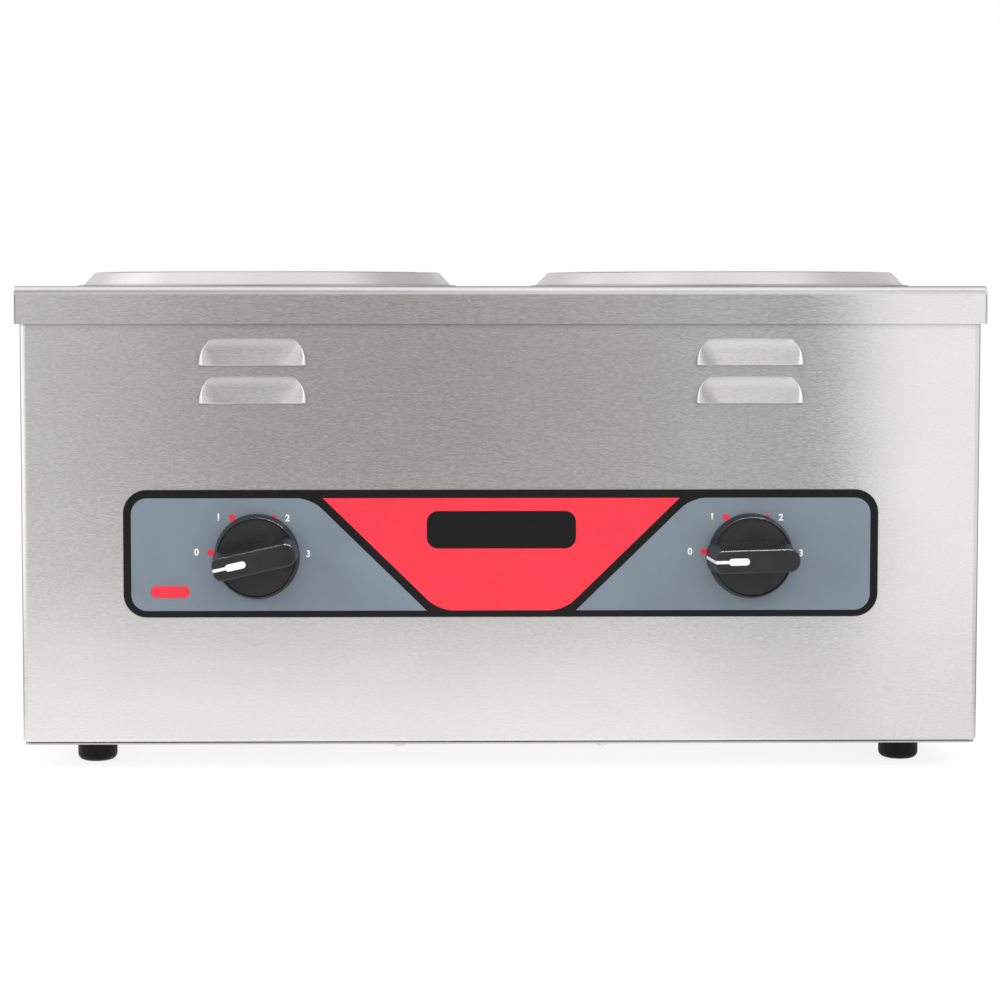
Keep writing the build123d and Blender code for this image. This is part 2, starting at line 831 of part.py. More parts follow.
for side, x in knob_xs.items():
    knob_face = front_plane(knob_back_y, x, knob_z, knob_turns[side])
    plain_knob = knob_body(knob_face)
    pointer_line = mark_tool(knob_face)
    save(plain_knob - pointer_line, f"{side}_knob")
    save(plain_knob & pointer_line, f"{side}_knob_pointer")
    save(knob_shaft(knob_face), f"{side}_shaft")
    save(regulator(x), f"{side}_regulator")
    save(regulator_blades(x), f"{side}_regulator_blades")
    bush_nut = hex_nuts(
        front_plane(front_y, x, knob_z),
        [(0, 0)],
        bush_nut_flats,
        bush_nut_height,
        bush_radius + thread_fit,
    )
    save(bush_nut, f"{side}_bush_nut")


def rubber_foot(x, y):
    """A turned rubber foot, recessed from below for its screw."""
    with BuildPart() as foot:
        with BuildSketch(Plane(origin=(x, y, 0))):
            Circle(foot_radius)
        extrude(amount=foot_height)
        fillet(foot.edges().group_by(Axis.Z)[0], radius=foot_round)
        drill(under_plane(0, x, y), [(0, 0)], foot_recess_radius, foot_recess_depth)
        drill(under_plane(0, x, y), [(0, 0)], screw_radius + thread_fit, foot_height)
    return foot.part


for corner, (x, y) in foot_places.items():
    save(rubber_foot(x, y), f"foot_{corner}")
foot_pattern = list(foot_places.values())
foot_screws = pan_screws(under_plane(foot_recess_depth), seen_from_below(foot_pattern), foot_screw_length)
save(foot_screws, "foot_screws")
foot_nuts = hex_nuts(
    Plane.XY.offset(cabinet_bottom),
    foot_pattern,
    nut_flats,
    nut_height,
    screw_radius + thread_fit,
)
save(foot_nuts, "foot_nuts")

# Supply gland: a flanged bush that snaps into the rear panel
gland_plane = rear_plane(rear_y, gland_x, gland_z)
with BuildPart() as supply_gland:
    with BuildSketch(gland_plane):
        Circle(gland_flange)
    extrude(amount=gland_flange_height)
    fillet(supply_gland.edges().group_by(Axis.Y)[-1], radius=gland_edge_round)
    with BuildSketch(gland_plane):
        Circle(gland_body)
    extrude(amount=-(sheet + gland_snap_length))
    with BuildSketch(gland_plane.offset(-sheet)):
        Circle(gland_body + gland_snap)
    extrude(amount=-gland_snap_length)
    drill(
        gland_plane.offset(gland_flange_height),
        [(0, 0)],
        gland_bore,
        gland_flange_height + sheet + gland_snap_length,
    )
save(supply_gland.part, "supply_gland")

# Ground point beside the gland
ground_plane = rear_plane(rear_y, gland_x + ground_offset, gland_z)
save(pan_screws(ground_plane, [(0, 0)], ground_screw_length), "ground_screw")
ground_nut = hex_nuts(
    front_plane(flange_back_y, gland_x + ground_offset, gland_z),
    [(0, 0)],
    nut_flats,
    nut_height,
    screw_radius + thread_fit,
)
save(ground_nut, "ground_nut")

# Terminal block on the bottom cover, near the gland: a base with towers that hold the clamping screws
block_plane = Plane(origin=(gland_x, block_y, cabinet_bottom))
terminal_pitches = (block_tower_pitch, terminal_screw_spread)
line_x = gland_x - block_tower_pitch
lead_entries = [(x + way * lead_pair_spacing / 2, 0) for x in (line_x, gland_x) for way in (-1, 1)]
with BuildPart() as terminal_block:
    with BuildSketch(block_plane):
        Rectangle(block_length, block_width)
    extrude(amount=block_base)
    with BuildSketch(block_plane):
        with GridLocations(block_tower_pitch, 0, block_towers, 1):
            Rectangle(block_tower, block_width)
    extrude(amount=block_height)
    with BuildSketch(block_plane.offset(block_height)):
        with GridLocations(*terminal_pitches, block_towers, 2):
            Circle(terminal_screw_radius + thread_fit)
    extrude(amount=-terminal_screw_depth, mode=Mode.SUBTRACT)
    with BuildSketch(block_plane.offset(block_base)):
        with GridLocations(block_screw_spread, 0, 2, 1):
            Circle(screw_radius + loose_fit)
    extrude(amount=-block_base, mode=Mode.SUBTRACT)
    drill(front_plane(block_front_y, z=lead_z), lead_entries, lead_radius + thread_fit, lead_entry_depth)
save(terminal_block.part, "terminal_block")
with BuildPart() as terminal_screws:
    with BuildSketch(block_plane.offset(block_height - terminal_screw_depth)):
        with GridLocations(*terminal_pitches, block_towers, 2):
            Circle(terminal_screw_radius)
    extrude(amount=terminal_screw_depth)
save(terminal_screws.part, "terminal_screws")
block_screws = pan_screws(
    block_plane.offset(block_base),
    [(-block_screw_spread / 2, 0), (block_screw_spread / 2, 0)],
    block_screw_length,
)
save(block_screws, "terminal_block_screws")


def lead(route, bends, blade=None, pin=None):
    """A sleeved wire: straight runs joined by tangent arcs, with a receptacle or a pin sleeve at an end."""
    with BuildLine() as line:
        FilletPolyline(*route, radius=bends)
    path = line.wire()
    with BuildPart() as wire:
        with BuildSketch(Plane(origin=path @ 0, z_dir=path % 0)):
            Circle(lead_radius)
        sweep(path=path)
        if blade:
            with BuildSketch(under_plane(blade_top - receptacle_air, *blade)):
                RectangleRounded(receptacle_width, receptacle_thickness, receptacle_thickness / 3)
            extrude(amount=receptacle_length)
            with BuildSketch(under_plane(blade_top - receptacle_air, *blade)):
                Rectangle(blade_width + 2 * thread_fit, blade_thickness + 2 * thread_fit)
            extrude(amount=blade_length, mode=Mode.SUBTRACT)
        if pin:
            with BuildSketch(under_plane(leg_foot, *pin)):
                Circle(pin_sleeve_radius)
            extrude(amount=pin_sleeve_length)
            drill(Plane(origin=(*pin, leg_foot)), [(0, 0)], heater_pin_radius + thread_fit, heater_pin_length)
    return wire.part


# Leads: from the block to the regulators, from these to the heaters, and from the heaters to the block
receptacle_foot = blade_top - receptacle_air - receptacle_length
pin_sleeve_foot = leg_foot - pin_sleeve_length
entry_y = block_front_y + lead_entry_depth
turn_y = block_front_y - lead_first_run
bridge_y = block_front_y - lead_second_run
for side, inner, entry_way in (("left", 1, -1), ("right", -1, 1)):
    line_blade = (knob_xs[side] - blade_spacing, blade_y)
    feed_blade = (knob_xs[side], blade_y)
    feed_pin = (well_xs[side] - inner * leg_x, leg_y)
    return_pin = (well_xs[side] + inner * leg_x, leg_y)
    line_entry_x = line_x + entry_way * lead_pair_spacing / 2
    return_entry_x = gland_x + entry_way * lead_pair_spacing / 2
    if side == "left":
        line_route = [(line_entry_x, entry_y, lead_z), (line_entry_x, leg_y, lead_z)]
        line_bends = [lead_wide_bend, lead_bend]
        line_level = lead_z
        return_bends = [lead_bend, lead_wide_bend, lead_wide_bend]
        return_corners = [(return_entry_x, bridge_y, lead_z)]
    else:
        line_route = [
            (line_entry_x, entry_y, lead_z),
            (line_entry_x, turn_y, lead_z),
            (line_entry_x, bridge_y, bridge_z),
            (well_xs[side] - shield_radius, bridge_y, bridge_z),
            (line_blade[0] - 2 * lead_bend, leg_y, bridge_z),
        ]
        line_bends = [lead_bend, lead_bend, lead_wide_bend, lead_wide_bend, lead_bend]
        line_level = bridge_z
        return_bends = [lead_bend, lead_wide_bend, lead_wide_bend, lead_bend]
        return_corners = [
            (well_xs[side] - heater_ring_radius, turn_y - lead_bridge, lead_z),
            (return_entry_x, turn_y - lead_bridge, lead_z),
        ]
    line_route += [(*line_blade, line_level), (*line_blade, receptacle_foot)]
    feed_route = [(*feed_blade, receptacle_foot), (*feed_blade, lead_z), (*feed_pin, lead_z)]
    feed_route.append((*feed_pin, pin_sleeve_foot))
    return_route = [(*return_pin, pin_sleeve_foot), (*return_pin, lead_z), (return_pin[0], middle_y, lead_z)]
    return_route += return_corners + [(return_entry_x, entry_y, lead_z)]
    save(lead(line_route, line_bends, blade=line_blade), f"{side}_line_lead")
    save(lead(feed_route, lead_bend, blade=feed_blade, pin=feed_pin), f"{side}_heater_lead")
    save(lead(return_route, return_bends, pin=return_pin), f"{side}_return_lead")
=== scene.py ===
from math import cos, pi, radians, sin, tan

import bmesh
import bpy
from mathutils import Matrix, Vector


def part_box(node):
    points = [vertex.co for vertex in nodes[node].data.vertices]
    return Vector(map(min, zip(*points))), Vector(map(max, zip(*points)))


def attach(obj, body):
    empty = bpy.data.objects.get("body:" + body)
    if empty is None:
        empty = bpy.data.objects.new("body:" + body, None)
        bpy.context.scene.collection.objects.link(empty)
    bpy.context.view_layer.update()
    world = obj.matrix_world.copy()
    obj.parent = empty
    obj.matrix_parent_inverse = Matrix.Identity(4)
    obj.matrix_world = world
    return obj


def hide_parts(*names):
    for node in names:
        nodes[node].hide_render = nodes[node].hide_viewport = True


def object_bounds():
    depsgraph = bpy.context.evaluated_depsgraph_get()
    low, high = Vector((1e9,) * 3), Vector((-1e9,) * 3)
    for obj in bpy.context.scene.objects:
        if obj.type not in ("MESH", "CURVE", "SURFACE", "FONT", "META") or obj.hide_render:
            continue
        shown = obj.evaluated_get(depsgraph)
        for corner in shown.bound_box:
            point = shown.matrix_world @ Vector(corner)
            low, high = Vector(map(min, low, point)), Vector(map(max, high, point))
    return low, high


bl_info = {
    "name": "Countertop food warmer",
    "version": (1, 0, 0),
    "blender": (4, 5, 0),
    "location": "View3D > Sidebar > Food warmer",
    "description": "Finishes, prints and small hardware of a food warmer with two round wells",
    "category": "Object",
}

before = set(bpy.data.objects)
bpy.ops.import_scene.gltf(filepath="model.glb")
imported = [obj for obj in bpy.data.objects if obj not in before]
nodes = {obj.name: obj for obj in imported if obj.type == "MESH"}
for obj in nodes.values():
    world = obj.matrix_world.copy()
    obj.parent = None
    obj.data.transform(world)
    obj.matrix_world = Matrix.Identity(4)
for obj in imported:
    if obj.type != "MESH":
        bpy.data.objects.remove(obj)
cad_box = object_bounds()

MM = 0.001
CABINET = "cabinet"
SIDES = ("left", "right")
FEET = tuple(name for name in nodes if name.startswith(("foot_front", "foot_rear")))
DIGIT_HEIGHT = 0.72  # a digit's height as a share of the font's size
FRONT_UP = Matrix.Rotation(pi / 2, 4, "X")  # stands a shape drawn in XY up in XZ, facing the front

overlay_low, overlay_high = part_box("control_overlay")
overlay_middle = (overlay_low + overlay_high) / 2
overlay_face = overlay_low.y


# -------- settings


def number(description, default, **options):
    """A property that holds a number."""
    return bpy.props.FloatProperty(description=description, default=default, **options)


def length(description, default):
    """A property that holds a length."""
    return number(description, default, unit="LENGTH", precision=5)


def share(description, default):
    """A property that holds a share from 0 to 1."""
    return number(description, default, min=0, max=1, subtype="FACTOR")


def angle(description, default):
    """A property that holds an angle, given in degrees."""
    return number(description, radians(default), subtype="ANGLE")


def colour(description, default):
    """A property that holds a colour."""
    options = {"size": 3, "subtype": "COLOR", "min": 0, "max": 1}
    return bpy.props.FloatVectorProperty(description=description, default=default, **options)


class SteelSettings(bpy.types.PropertyGroup):
    panel_colour: colour("Brushed cabinet and deck", (0.72, 0.715, 0.705))
    cover_colour: colour("Bottom cover's mill finish", (0.60, 0.60, 0.60))
    well_colour: colour("Drawn wells", (0.66, 0.655, 0.63))
    plate_colour: colour("Plated nuts and clamps", (0.62, 0.63, 0.64))
    brass_colour: colour("Blades and the ground screw", (0.71, 0.52, 0.24))
    nickel_colour: colour("Bright screws", (0.70, 0.69, 0.67))
    shield_colour: colour("Heat shields", (0.74, 0.74, 0.75))
    sheath_colour: colour("Heater's oxidised sheath", (0.20, 0.19, 0.185))
    panel_roughness: share("Brushed sheets", 0.155)
    cover_roughness: share("Bottom cover", 0.36)
    well_roughness: share("Wells", 0.33)
    sheet: length("Thickness of the cabinet's sheet", 1.0 * MM)
    grain_length: length("Length of one brushed stroke", 2.8 * MM)
    grain_width: length("Width of one brushed stroke", 0.38 * MM)
    grain_depth: length("Depth of one brushed stroke", 0.0088 * MM)


class LouvreSettings(bpy.types.PropertyGroup):
    half_width: length("From a louvre's middle to its end, at the lip", 32.0 * MM)
    top_half: length("Half the width of the straight part of its top", 19.0 * MM)
    height: length("From the lip up to where the bulge has ended", 17.0 * MM)
    open_half: length("Half the width of the opening behind a hood", 27.0 * MM)
    open_height: length("Height of the opening behind a hood", 9.0 * MM)
    knee: length("From the lip up to where the leaning face would meet the panel", 12.4 * MM)
    reach: length("How far the lip stands in front of the panel", 6.0 * MM)
    lip_round: length("Radius of the lip's outer edge", 0.5 * MM)
    seat: length("How far a hood's outline lies behind the panel's face", 0.03 * MM)
    shoulder: number("How square the ends are, from 2 for round ones", 3.3)


class PrintSettings(bpy.types.PropertyGroup):
    black_ink: colour("Border, bands and badge", (0.003, 0.003, 0.0035))
    grey_ink: colour("The two dial fields", (0.196, 0.240, 0.286))
    red_ink: colour("The middle field, the dots and the small pill", (0.87, 0.040, 0.066))
    white_ink: colour("The numbers of the dials", (0.88, 0.89, 0.90))
    ink_step: length("How far one layer of ink stands on the one below", 0.03 * MM)
    field_top: length("From the plate's middle up to the fields' top edge", 33.2 * MM)
    field_foot: length("From the plate's middle down to the fields' bottom edge", 34.2 * MM)
    field_side: length("From the plate's middle to a grey field's outer edge", 220.6 * MM)
    field_corner: length("Radius of a grey field's outer corners", 9.5 * MM)
    red_top_half: length("Half the width of the red field's top edge", 106.5 * MM)
    red_foot_half: length("Half the width of the red field's bottom edge, corners unrounded", 37.5 * MM)
    slant_corner: length("Radius where a slanted side turns", 21.0 * MM)
    band_width: length("Width, along the plate, of the black bands beside the red field", 7.1 * MM)
    badge_width: length("Width of the bare black badge", 89.0 * MM)
    badge_height: length("Height of the bare black badge", 22.4 * MM)
    badge_rise: length("Height of the badge's middle above the plate's middle", 14.2 * MM)
    badge_corner: length("Radius of the badge's corners", 6.6 * MM)
    pill_width: length("Width of the bare red pill", 23.6 * MM)
    pill_height: length("Height of the bare red pill", 7.2 * MM)
    pill_side: length("From the plate's middle to the pill's middle", 197.4 * MM)
    pill_drop: length("From the plate's middle down to the pill's middle", 22.9 * MM)
    bush_opening: length("Radius left free round each knob's bush", 12.2 * MM)


class DialSettings(bpy.types.PropertyGroup):
    circle_radius: length("Radius of the circle that the dots lie on", 25.0 * MM)
    dot_radius: length("Radius of a dot", 2.0 * MM)
    circle_shift: length("How far the circle's middle is to the left of the knob's", 2.9 * MM)
    circle_rise: length("How far the circle's middle is above the knob's", 1.2 * MM)
    zero_lift: angle("How far round the 0 dot lies above the circle's middle", 2.6)
    number_height: length("Height of the numbers", 4.0 * MM)
    number_weight: share("How much the strokes grow, as a share of the height", 0.055)
    number_gap: length("From a dot's middle to the middle of its number", 8.2 * MM)


class PlasticSettings(bpy.types.PropertyGroup):
    knob_colour: colour("Knobs", (0.0065, 0.0065, 0.0070))
    pointer_colour: colour("Pointer line", (0.86, 0.86, 0.85))
    rubber_colour: colour("Feet", (0.0030, 0.0028, 0.0026))
    gland_colour: colour("Supply gland", (0.02, 0.02, 0.02))
    case_colour: colour("Regulators' cases", (0.045, 0.040, 0.036))
    block_colour: colour("Glazed block", (0.78, 0.74, 0.66))
    jacket_colour: colour("Fibre jackets", (0.70, 0.66, 0.55))
    sleeve_colour: colour("Leads' braided sleeves", (0.78, 0.75, 0.66))
    knob_roughness: share("Knobs", 0.32)


class ScrewSettings(bpy.types.PropertyGroup):
    head_radius: length("Radius of a pan head", 3.5 * MM)
    head_height: length("Height of a pan head", 2.4 * MM)
    dome_round: length("Radius of the head's rounded edge", 1.4 * MM)
    shank_radius: length("Radius of a screw's shank", 2.0 * MM)
    tip_chamfer: length("Chamfer at the end of the shank", 0.5 * MM)
    recess_reach: length("From the middle to the end of a recess's wing", 1.95 * MM)
    recess_width: length("Width of a recess's wing", 0.9 * MM)
    recess_depth: length("Depth of the cross recess", 1.4 * MM)


class StageSettings(bpy.types.PropertyGroup):
    camera_place: bpy.props.FloatVectorProperty(
        description="Where the camera stands", default=(-0.0505, -1.5200, 0.2862), size=3, unit="LENGTH"
    )
    camera_yaw: angle("How far the camera turns to the right", 0.82)
    camera_pitch: angle("How far the camera looks down", 3.13)
    lens: number("Focal length in millimetres", 83.85)
    shift_x: number("Lens shift across", 0.05)
    shift_y: number("Lens shift up", -0.08)
    floor_half: length("From the object's middle to the floor's edge", 4.0)
    table_bright: length("How far round the object the table shows bright in the steel", 0.45)
    table_fade: length("How far round the object the table has faded in the steel", 0.68)
    table_left: number("Brightness at the table's left end", 1.24)
    table_right: number("Brightness at the table's right end", 0.99)
    table_dim: number("Brightness of the table beside and behind the object", 0.6)
    room_light: number("Strength of the room's light", 0.75)
    lean: number("How far the walls lean as they rise", 0.07)


GROUPS = {
    "warmer_steel": SteelSettings,
    "warmer_louvre": LouvreSettings,
    "warmer_print": PrintSettings,
    "warmer_dial": DialSettings,
    "warmer_plastic": PlasticSettings,
    "warmer_screw": ScrewSettings,
    "warmer_stage": StageSettings,
}


# What the steel mirrors level with it: degrees to the right of the front, brightness, warmth,
# and how much of the side lights stands above that bearing
WALLS = (
    (-180, 0.62, 0, 0),
    (-150, 0.50, 0, 0),
    (-135, 0.42, 0, 0.4),
    (-115, 0.60, 0, 0.8),
    (-98, 1.45, 0, 1),
    (-62, 1.45, 0, 1),
    (-46, 1.25, 0, 0),
    (-30, 0.96, 0, 0),
    (-18, 0.92, 0, 0),
    (-9, 0.62, 0, 0),
    (-5, 0.365, 0.02, 0),
    (0, 0.33, 0.035, 0),
    (4, 0.375, 0.015, 0),
    (8, 0.50, -0.02, 0),
    (9.6, 0.33, -0.03, 0),
    (10.6, 0.33, -0.03, 0),
    (11.2, 1.24, 0, 0),
    (20, 1.08, 0, 0),
    (45, 1.00, 0, 0),
    (62, 1.00, 0, 1),
    (95, 1.00, 0, 1),
    (112, 0.30, 0, 0),
    (150, 0.36, 0, 0),
    (180, 0.62, 0, 0),
)

# What it mirrors above: degrees up, brightness, how far this hides the walls, strength of the side lights,
# and how far the brightness follows the bearing
SKY = (
    (3, 0.80, 0, 0, 0.3),
    (10, 0.98, 1, 0, 0.3),
    (18, 0.90, 1, 0, 0.3),
    (24, 0.82, 1, 0.1, 0.8),
    (30, 0.78, 1, 1.2, 1),
    (46, 0.62, 1, 1.2, 1),
    (54, 0.63, 1, 0.3, 1),
    (60, 1.05, 1, 0, 1),
    (68, 1.18, 1, 0, 0.8),
    (76, 1.18, 1, 0, 0.3),
    (86, 1.18, 1, 0, 0),
)

# How the light above changes with the bearing
TURN = (
    (-180, 0.60),
    (-165, 0.80),
    (-150, 1.00),
    (-125, 1.15),
    (-28, 1.12),
    (-14, 0.76),
    (-5, 0.82),
    (3, 0.98),
    (8, 1.28),
    (28, 1.10),
    (60, 1.15),
    (110, 1.05),
    (138, 1.00),
    (155, 0.72),
    (168, 0.50),
    (180, 0.60),
)


# -------- materials


class Nodes:
    """A node tree, with short calls to add and link nodes."""

    def __init__(self, tree):
        self.tree = tree

    def add(self, kind, settings=None, **links):
        """Add a node. Links give an input's name, with _ for a space, or its number after an n."""
        made = self.tree.nodes.new("ShaderNode" + kind)
        for key, value in (settings or {}).items():
            if isinstance(key, int) or key in made.inputs:
                made.inputs[key].default_value = value
            else:
                setattr(made, key, value)
        for key, source in links.items():
            target = int(key[1:]) if key[0] == "n" and key[1:].isdigit() else key.replace("_", " ")
            self.feed(made.inputs[target], source)
        return made

    def feed(self, socket, source):
        """Link an output to an input, or set the input to a plain value."""
        if isinstance(source, bpy.types.NodeSocket):
            self.tree.links.new(source, socket)
        else:
            socket.default_value = source

    def math(self, operation, first, second=0):
        """A math node on an output and another output or a number."""
        return self.add("Math", {"operation": operation}, n0=first, n1=second).outputs[0]

    def weigh(self, first, second, part):
        """A mean of two outputs, in which the first has this part."""
        return self.math("ADD", self.math("MULTIPLY", first, part), self.math("MULTIPLY", second, 1 - part))

    def vector_math(self, operation, first, second=(0, 0, 0)):
        """A vector math node on an output and another output or a constant vector."""
        return self.add("VectorMath", {"operation": operation}, n0=first, n1=second).outputs[0]

    def size(self, vector):
        """The length of a vector."""
        return self.add("VectorMath", {"operation": "LENGTH"}, n0=vector).outputs["Value"]

    def split(self, vector):
        """The three parts of a vector."""
        return self.add("SeparateXYZ", n0=vector).outputs

    def noise(self, vector, sizes, detail=2.0, roughness=0.5):
        """Noise whose patches have these sizes along X, Y and Z."""
        mapping = self.add("Mapping", {"Scale": [1 / s for s in sizes]}, Vector=vector)
        settings = {"Scale": 1.0, "Detail": detail, "Roughness": roughness}
        return self.add("TexNoise", settings, Vector=mapping.outputs[0]).outputs["Fac"]

    def spread(self, source, low, high, start=0.3, end=0.7):
        """Map a value from start to end onto low to high."""
        settings = {"From Min": start, "From Max": end, "To Min": low, "To Max": high}
        return self.add("MapRange", settings, Value=source).outputs[0]

    def blend(self, factor, low, high, kind="MIX"):
        """Blend two colours by a factor."""
        low, high = ((*c, 1) if isinstance(c, tuple) else c for c in (low, high))
        settings = {"data_type": "RGBA", "blend_type": kind}
        return self.add("Mix", settings, n0=factor, n6=low, n7=high).outputs[2]

    def shader_mix(self, factor, low, high):
        """Mix two shaders by a factor."""
        return self.add("MixShader", n0=factor, n1=low, n2=high).outputs[0]

    def ramp(self, place, rows):
        """A colour ramp through rows of a place from 0 to 1 and a colour with alpha."""
        made = self.add("ValToRGB", n0=place)
        points = made.color_ramp.elements
        while len(points) < len(rows):
            points.new(0.5)
        for point, (position, tint) in zip(points, rows):
            point.position = position
            point.color = tint
        return made


class Finish(Nodes):
    """One material and its node tree."""

    def __init__(self, name, base, metallic=0.0, roughness=0.5, **sockets):
        self.material = bpy.data.materials.new(name)
        self.material.use_nodes = True
        self.material.diffuse_color = (*base, 1)
        super().__init__(self.material.node_tree)
        self.shader = self.tree.nodes["Principled BSDF"]
        sockets = {"Base Color": (*base, 1), "Metallic": metallic, "Roughness": roughness, **sockets}
        for socket, value in sockets.items():
            self.drive(socket.replace("_", " "), value)
        coords = self.add("TexCoord").outputs
        self.position, self.normal = coords["Object"], coords["Normal"]

    def drive(self, socket, source):
        """Link an output to one of the shader's sockets, or set it."""
        self.feed(self.shader.inputs[socket], source)

    def crevices(self, reach=4 * MM, dark=0.5):
        """Painted shade: white on open faces, darker in seams and close under an overhang, to multiply into the
        colour.
        """
        open_sky = self.add("AmbientOcclusion", {"samples": 8, "Distance": reach})
        return self.spread(open_sky.outputs["AO"], dark, 1.0, 0.35, 0.95)

    def bump(self, height, depth):
        """Raise the surface by a height from 0 to 1, times a depth."""
        self.drive("Normal", self.add("Bump", {"Strength": 1.0, "Distance": depth}, Height=height).outputs[0])

    def vary(self, spots, base, dark, bright):
        """The colour, made darker to brighter by spots."""
        return self.blend(self.spread(spots, 0, 1), shade(base, dark), shade(base, bright))


def shade(base, factor):
    """A colour made lighter or darker."""
    return tuple(min(1.0, c * factor) for c in base)


def assign(obj, material):
    """Give an object one material."""
    obj.data.materials.clear()
    obj.data.materials.append(material)


def finish_nodes(finishes):
    """Give each node the finish of the longest ending that its name has, if any."""
    for name, node in nodes.items():
        endings = [ending for ending in finishes if name.endswith(ending)]
        if endings:
            assign(node, finishes[max(endings, key=len)])


def brushed_steel(name, base, roughness, along, across, depth, folded=False):
    """Sheet brushed along its length. Where it is folded, the strokes turn on faces that look along X."""
    steel = Finish(name, base, 1.0, roughness, Anisotropic=1.0)
    position = steel.position

    def strokes(sizes):
        """Strokes of these sizes, and streaks 12 times as long and 1.6 times as wide."""
        long_sizes = tuple(s * (12 if s == along else 1.6) for s in sizes)
        return steel.noise(position, sizes, 1.0), steel.noise(position, long_sizes)

    fine, streaks = strokes((along, across, across) if folded else (along, along, across))
    if folded:
        on_end = steel.math("GREATER_THAN", steel.math("ABSOLUTE", steel.split(steel.normal)[0]), 0.7)
        turned_fine, turned_streaks = strokes((across, across, along))
        fine = steel.add("Mix", n0=on_end, n2=fine, n3=turned_fine).outputs[0]
        streaks = steel.add("Mix", n0=on_end, n2=streaks, n3=turned_streaks).outputs[0]
    cloud = steel.noise(position, (0.06, 0.06, 0.03), 3.0)
    grain = steel.weigh(fine, streaks, 0.8)
    tone = steel.vary(grain, base, 0.94, 1.06)
    tone = steel.blend(1.0, tone, steel.vary(cloud, (1, 1, 1), 0.96, 1), "MULTIPLY")
    # the colour is darkened by painted shade in seams and under overhangs
    steel.drive("Base Color", steel.blend(1.0, tone, steel.crevices(), "MULTIPLY"))
    steel.drive("Roughness", steel.spread(grain, roughness - 0.03, roughness + 0.03))
    steel.bump(grain, depth)
    if folded:
        straight = steel.vector_math("CROSS_PRODUCT", steel.normal, (1, 0, 0))
        turned = steel.vector_math("CROSS_PRODUCT", steel.normal, (0, 0, 1))
        lay = steel.add("Mix", {"data_type": "VECTOR"}, n0=on_end, n4=straight, n5=turned).outputs[1]
    else:
        lay = steel.add("CombineXYZ", {"Z": 1.0}).outputs[0]
    steel.drive("Tangent", lay)
    return steel.material


def spun_steel(name, base, roughness, centre, depth):
    """Drawn steel with fine rings about an upright axis."""
    steel = Finish(name, base, 1.0, roughness, Anisotropic=0.35)
    centred = steel.add("Mapping", {"Location": (-centre.x, -centre.y, 0)}, Vector=steel.position).outputs[0]
    parts = steel.split(centred)
    flat = steel.vector_math("MULTIPLY", centred, (1, 1, 0))
    turn = steel.math("MULTIPLY", steel.math("ARCTAN2", parts[1], parts[0]), 0.012)
    rings = steel.add("CombineXYZ", n0=turn, n1=steel.size(flat), n2=parts[2]).outputs[0]
    fine = steel.noise(rings, (0.006, 0.0006, 0.0006), 3.0, 0.6)
    drawn = steel.noise(steel.position, (0.0011,) * 3)
    cloud = steel.noise(steel.position, (0.05,) * 3, 3.0)
    grain = steel.weigh(fine, drawn, 0.5)
    tone = steel.vary(steel.weigh(grain, cloud, 0.7), base, 0.90, 1.08)
    # the colour is darkened by painted shade in seams and under overhangs
    steel.drive("Base Color", steel.blend(1.0, tone, steel.crevices(), "MULTIPLY"))
    steel.drive("Roughness", steel.spread(grain, roughness - 0.06, roughness + 0.07))
    steel.bump(grain, depth)
    round_about = steel.vector_math("CROSS_PRODUCT", steel.vector_math("NORMALIZE", flat), (0, 0, 1))
    steel.drive("Tangent", steel.vector_math("CROSS_PRODUCT", steel.normal, round_about))
    return steel.material


def moulded(name, base, roughness, grain, depth, wear=1.25, **sockets):
    """Moulded plastic or rubber: a fine grain, a slow change of tone and a little polish in places."""
    plastic = Finish(name, base, 0.0, roughness, **sockets)
    slow = plastic.noise(plastic.position, (0.012,) * 3, 3.0)
    plastic.drive("Base Color", plastic.vary(slow, base, 1, wear))
    plastic.drive("Roughness", plastic.spread(slow, roughness - 0.06, roughness + 0.08))
    plastic.bump(plastic.noise(plastic.position, (grain,) * 3), depth)
    return plastic.material


def braided(name, base, roughness, strand, depth):
    """A braid of fine strands that cross on the slant."""
    sleeve = Finish(name, base, 0.0, roughness)
    ways = []
    for way in ((1, 1, 1), (1, 1, -1)):
        along = sleeve.add("VectorMath", {"operation": "DOT_PRODUCT"}, n0=sleeve.position, n1=way).outputs["Value"]
        ways.append(sleeve.math("SINE", sleeve.math("MULTIPLY", along, 2 * pi / strand)))
    braid = sleeve.math("MAXIMUM", *ways)
    sleeve.drive("Base Color", sleeve.blend(sleeve.spread(braid, 0, 1, -0.5, 1.0), shade(base, 0.6), shade(base, 1)))
    sleeve.bump(braid, depth)
    return sleeve.material


def plated(name, base, roughness, metallic=1.0):
    """Plated or plain metal of small hardware, with a light mottle."""
    metal = Finish(name, base, metallic, roughness)
    spots = metal.noise(metal.position, (0.0012,) * 3, 3.0)
    metal.drive("Base Color", metal.vary(metal.noise(metal.position, (0.006,) * 3), base, 0.84, 1.08))
    metal.drive("Roughness", metal.spread(spots, roughness - 0.05, roughness + 0.12))
    metal.bump(spots, 0.01 * MM)
    return metal.material


def printed_film(name, base, roughness=0.36):
    """Ink under a film with a fine pebbled face."""
    film = Finish(name, base, 0.0, roughness, Specular_IOR_Level=0.25)
    pebble = film.noise(film.position, (0.45 * MM,) * 3, 2.0, 0.6)
    film.drive("Base Color", film.vary(film.noise(film.position, (0.03,) * 3), base, 0.94, 1.05))
    film.drive("Roughness", film.spread(pebble, roughness - 0.05, roughness + 0.06))
    film.bump(pebble, 0.012 * MM)
    return film.material


# -------- shapes


def put(bm, name):
    """Turn a bmesh into an object in the scene."""
    mesh = bpy.data.meshes.new(name)
    bm.to_mesh(mesh)
    bm.free()
    made = bpy.data.objects.new(name, mesh)
    bpy.context.scene.collection.objects.link(made)
    return made


def mesh_of(obj):
    """An object's finished mesh."""
    bpy.context.view_layer.update()
    return bpy.data.meshes.new_from_object(obj.evaluated_get(bpy.context.evaluated_depsgraph_get()))


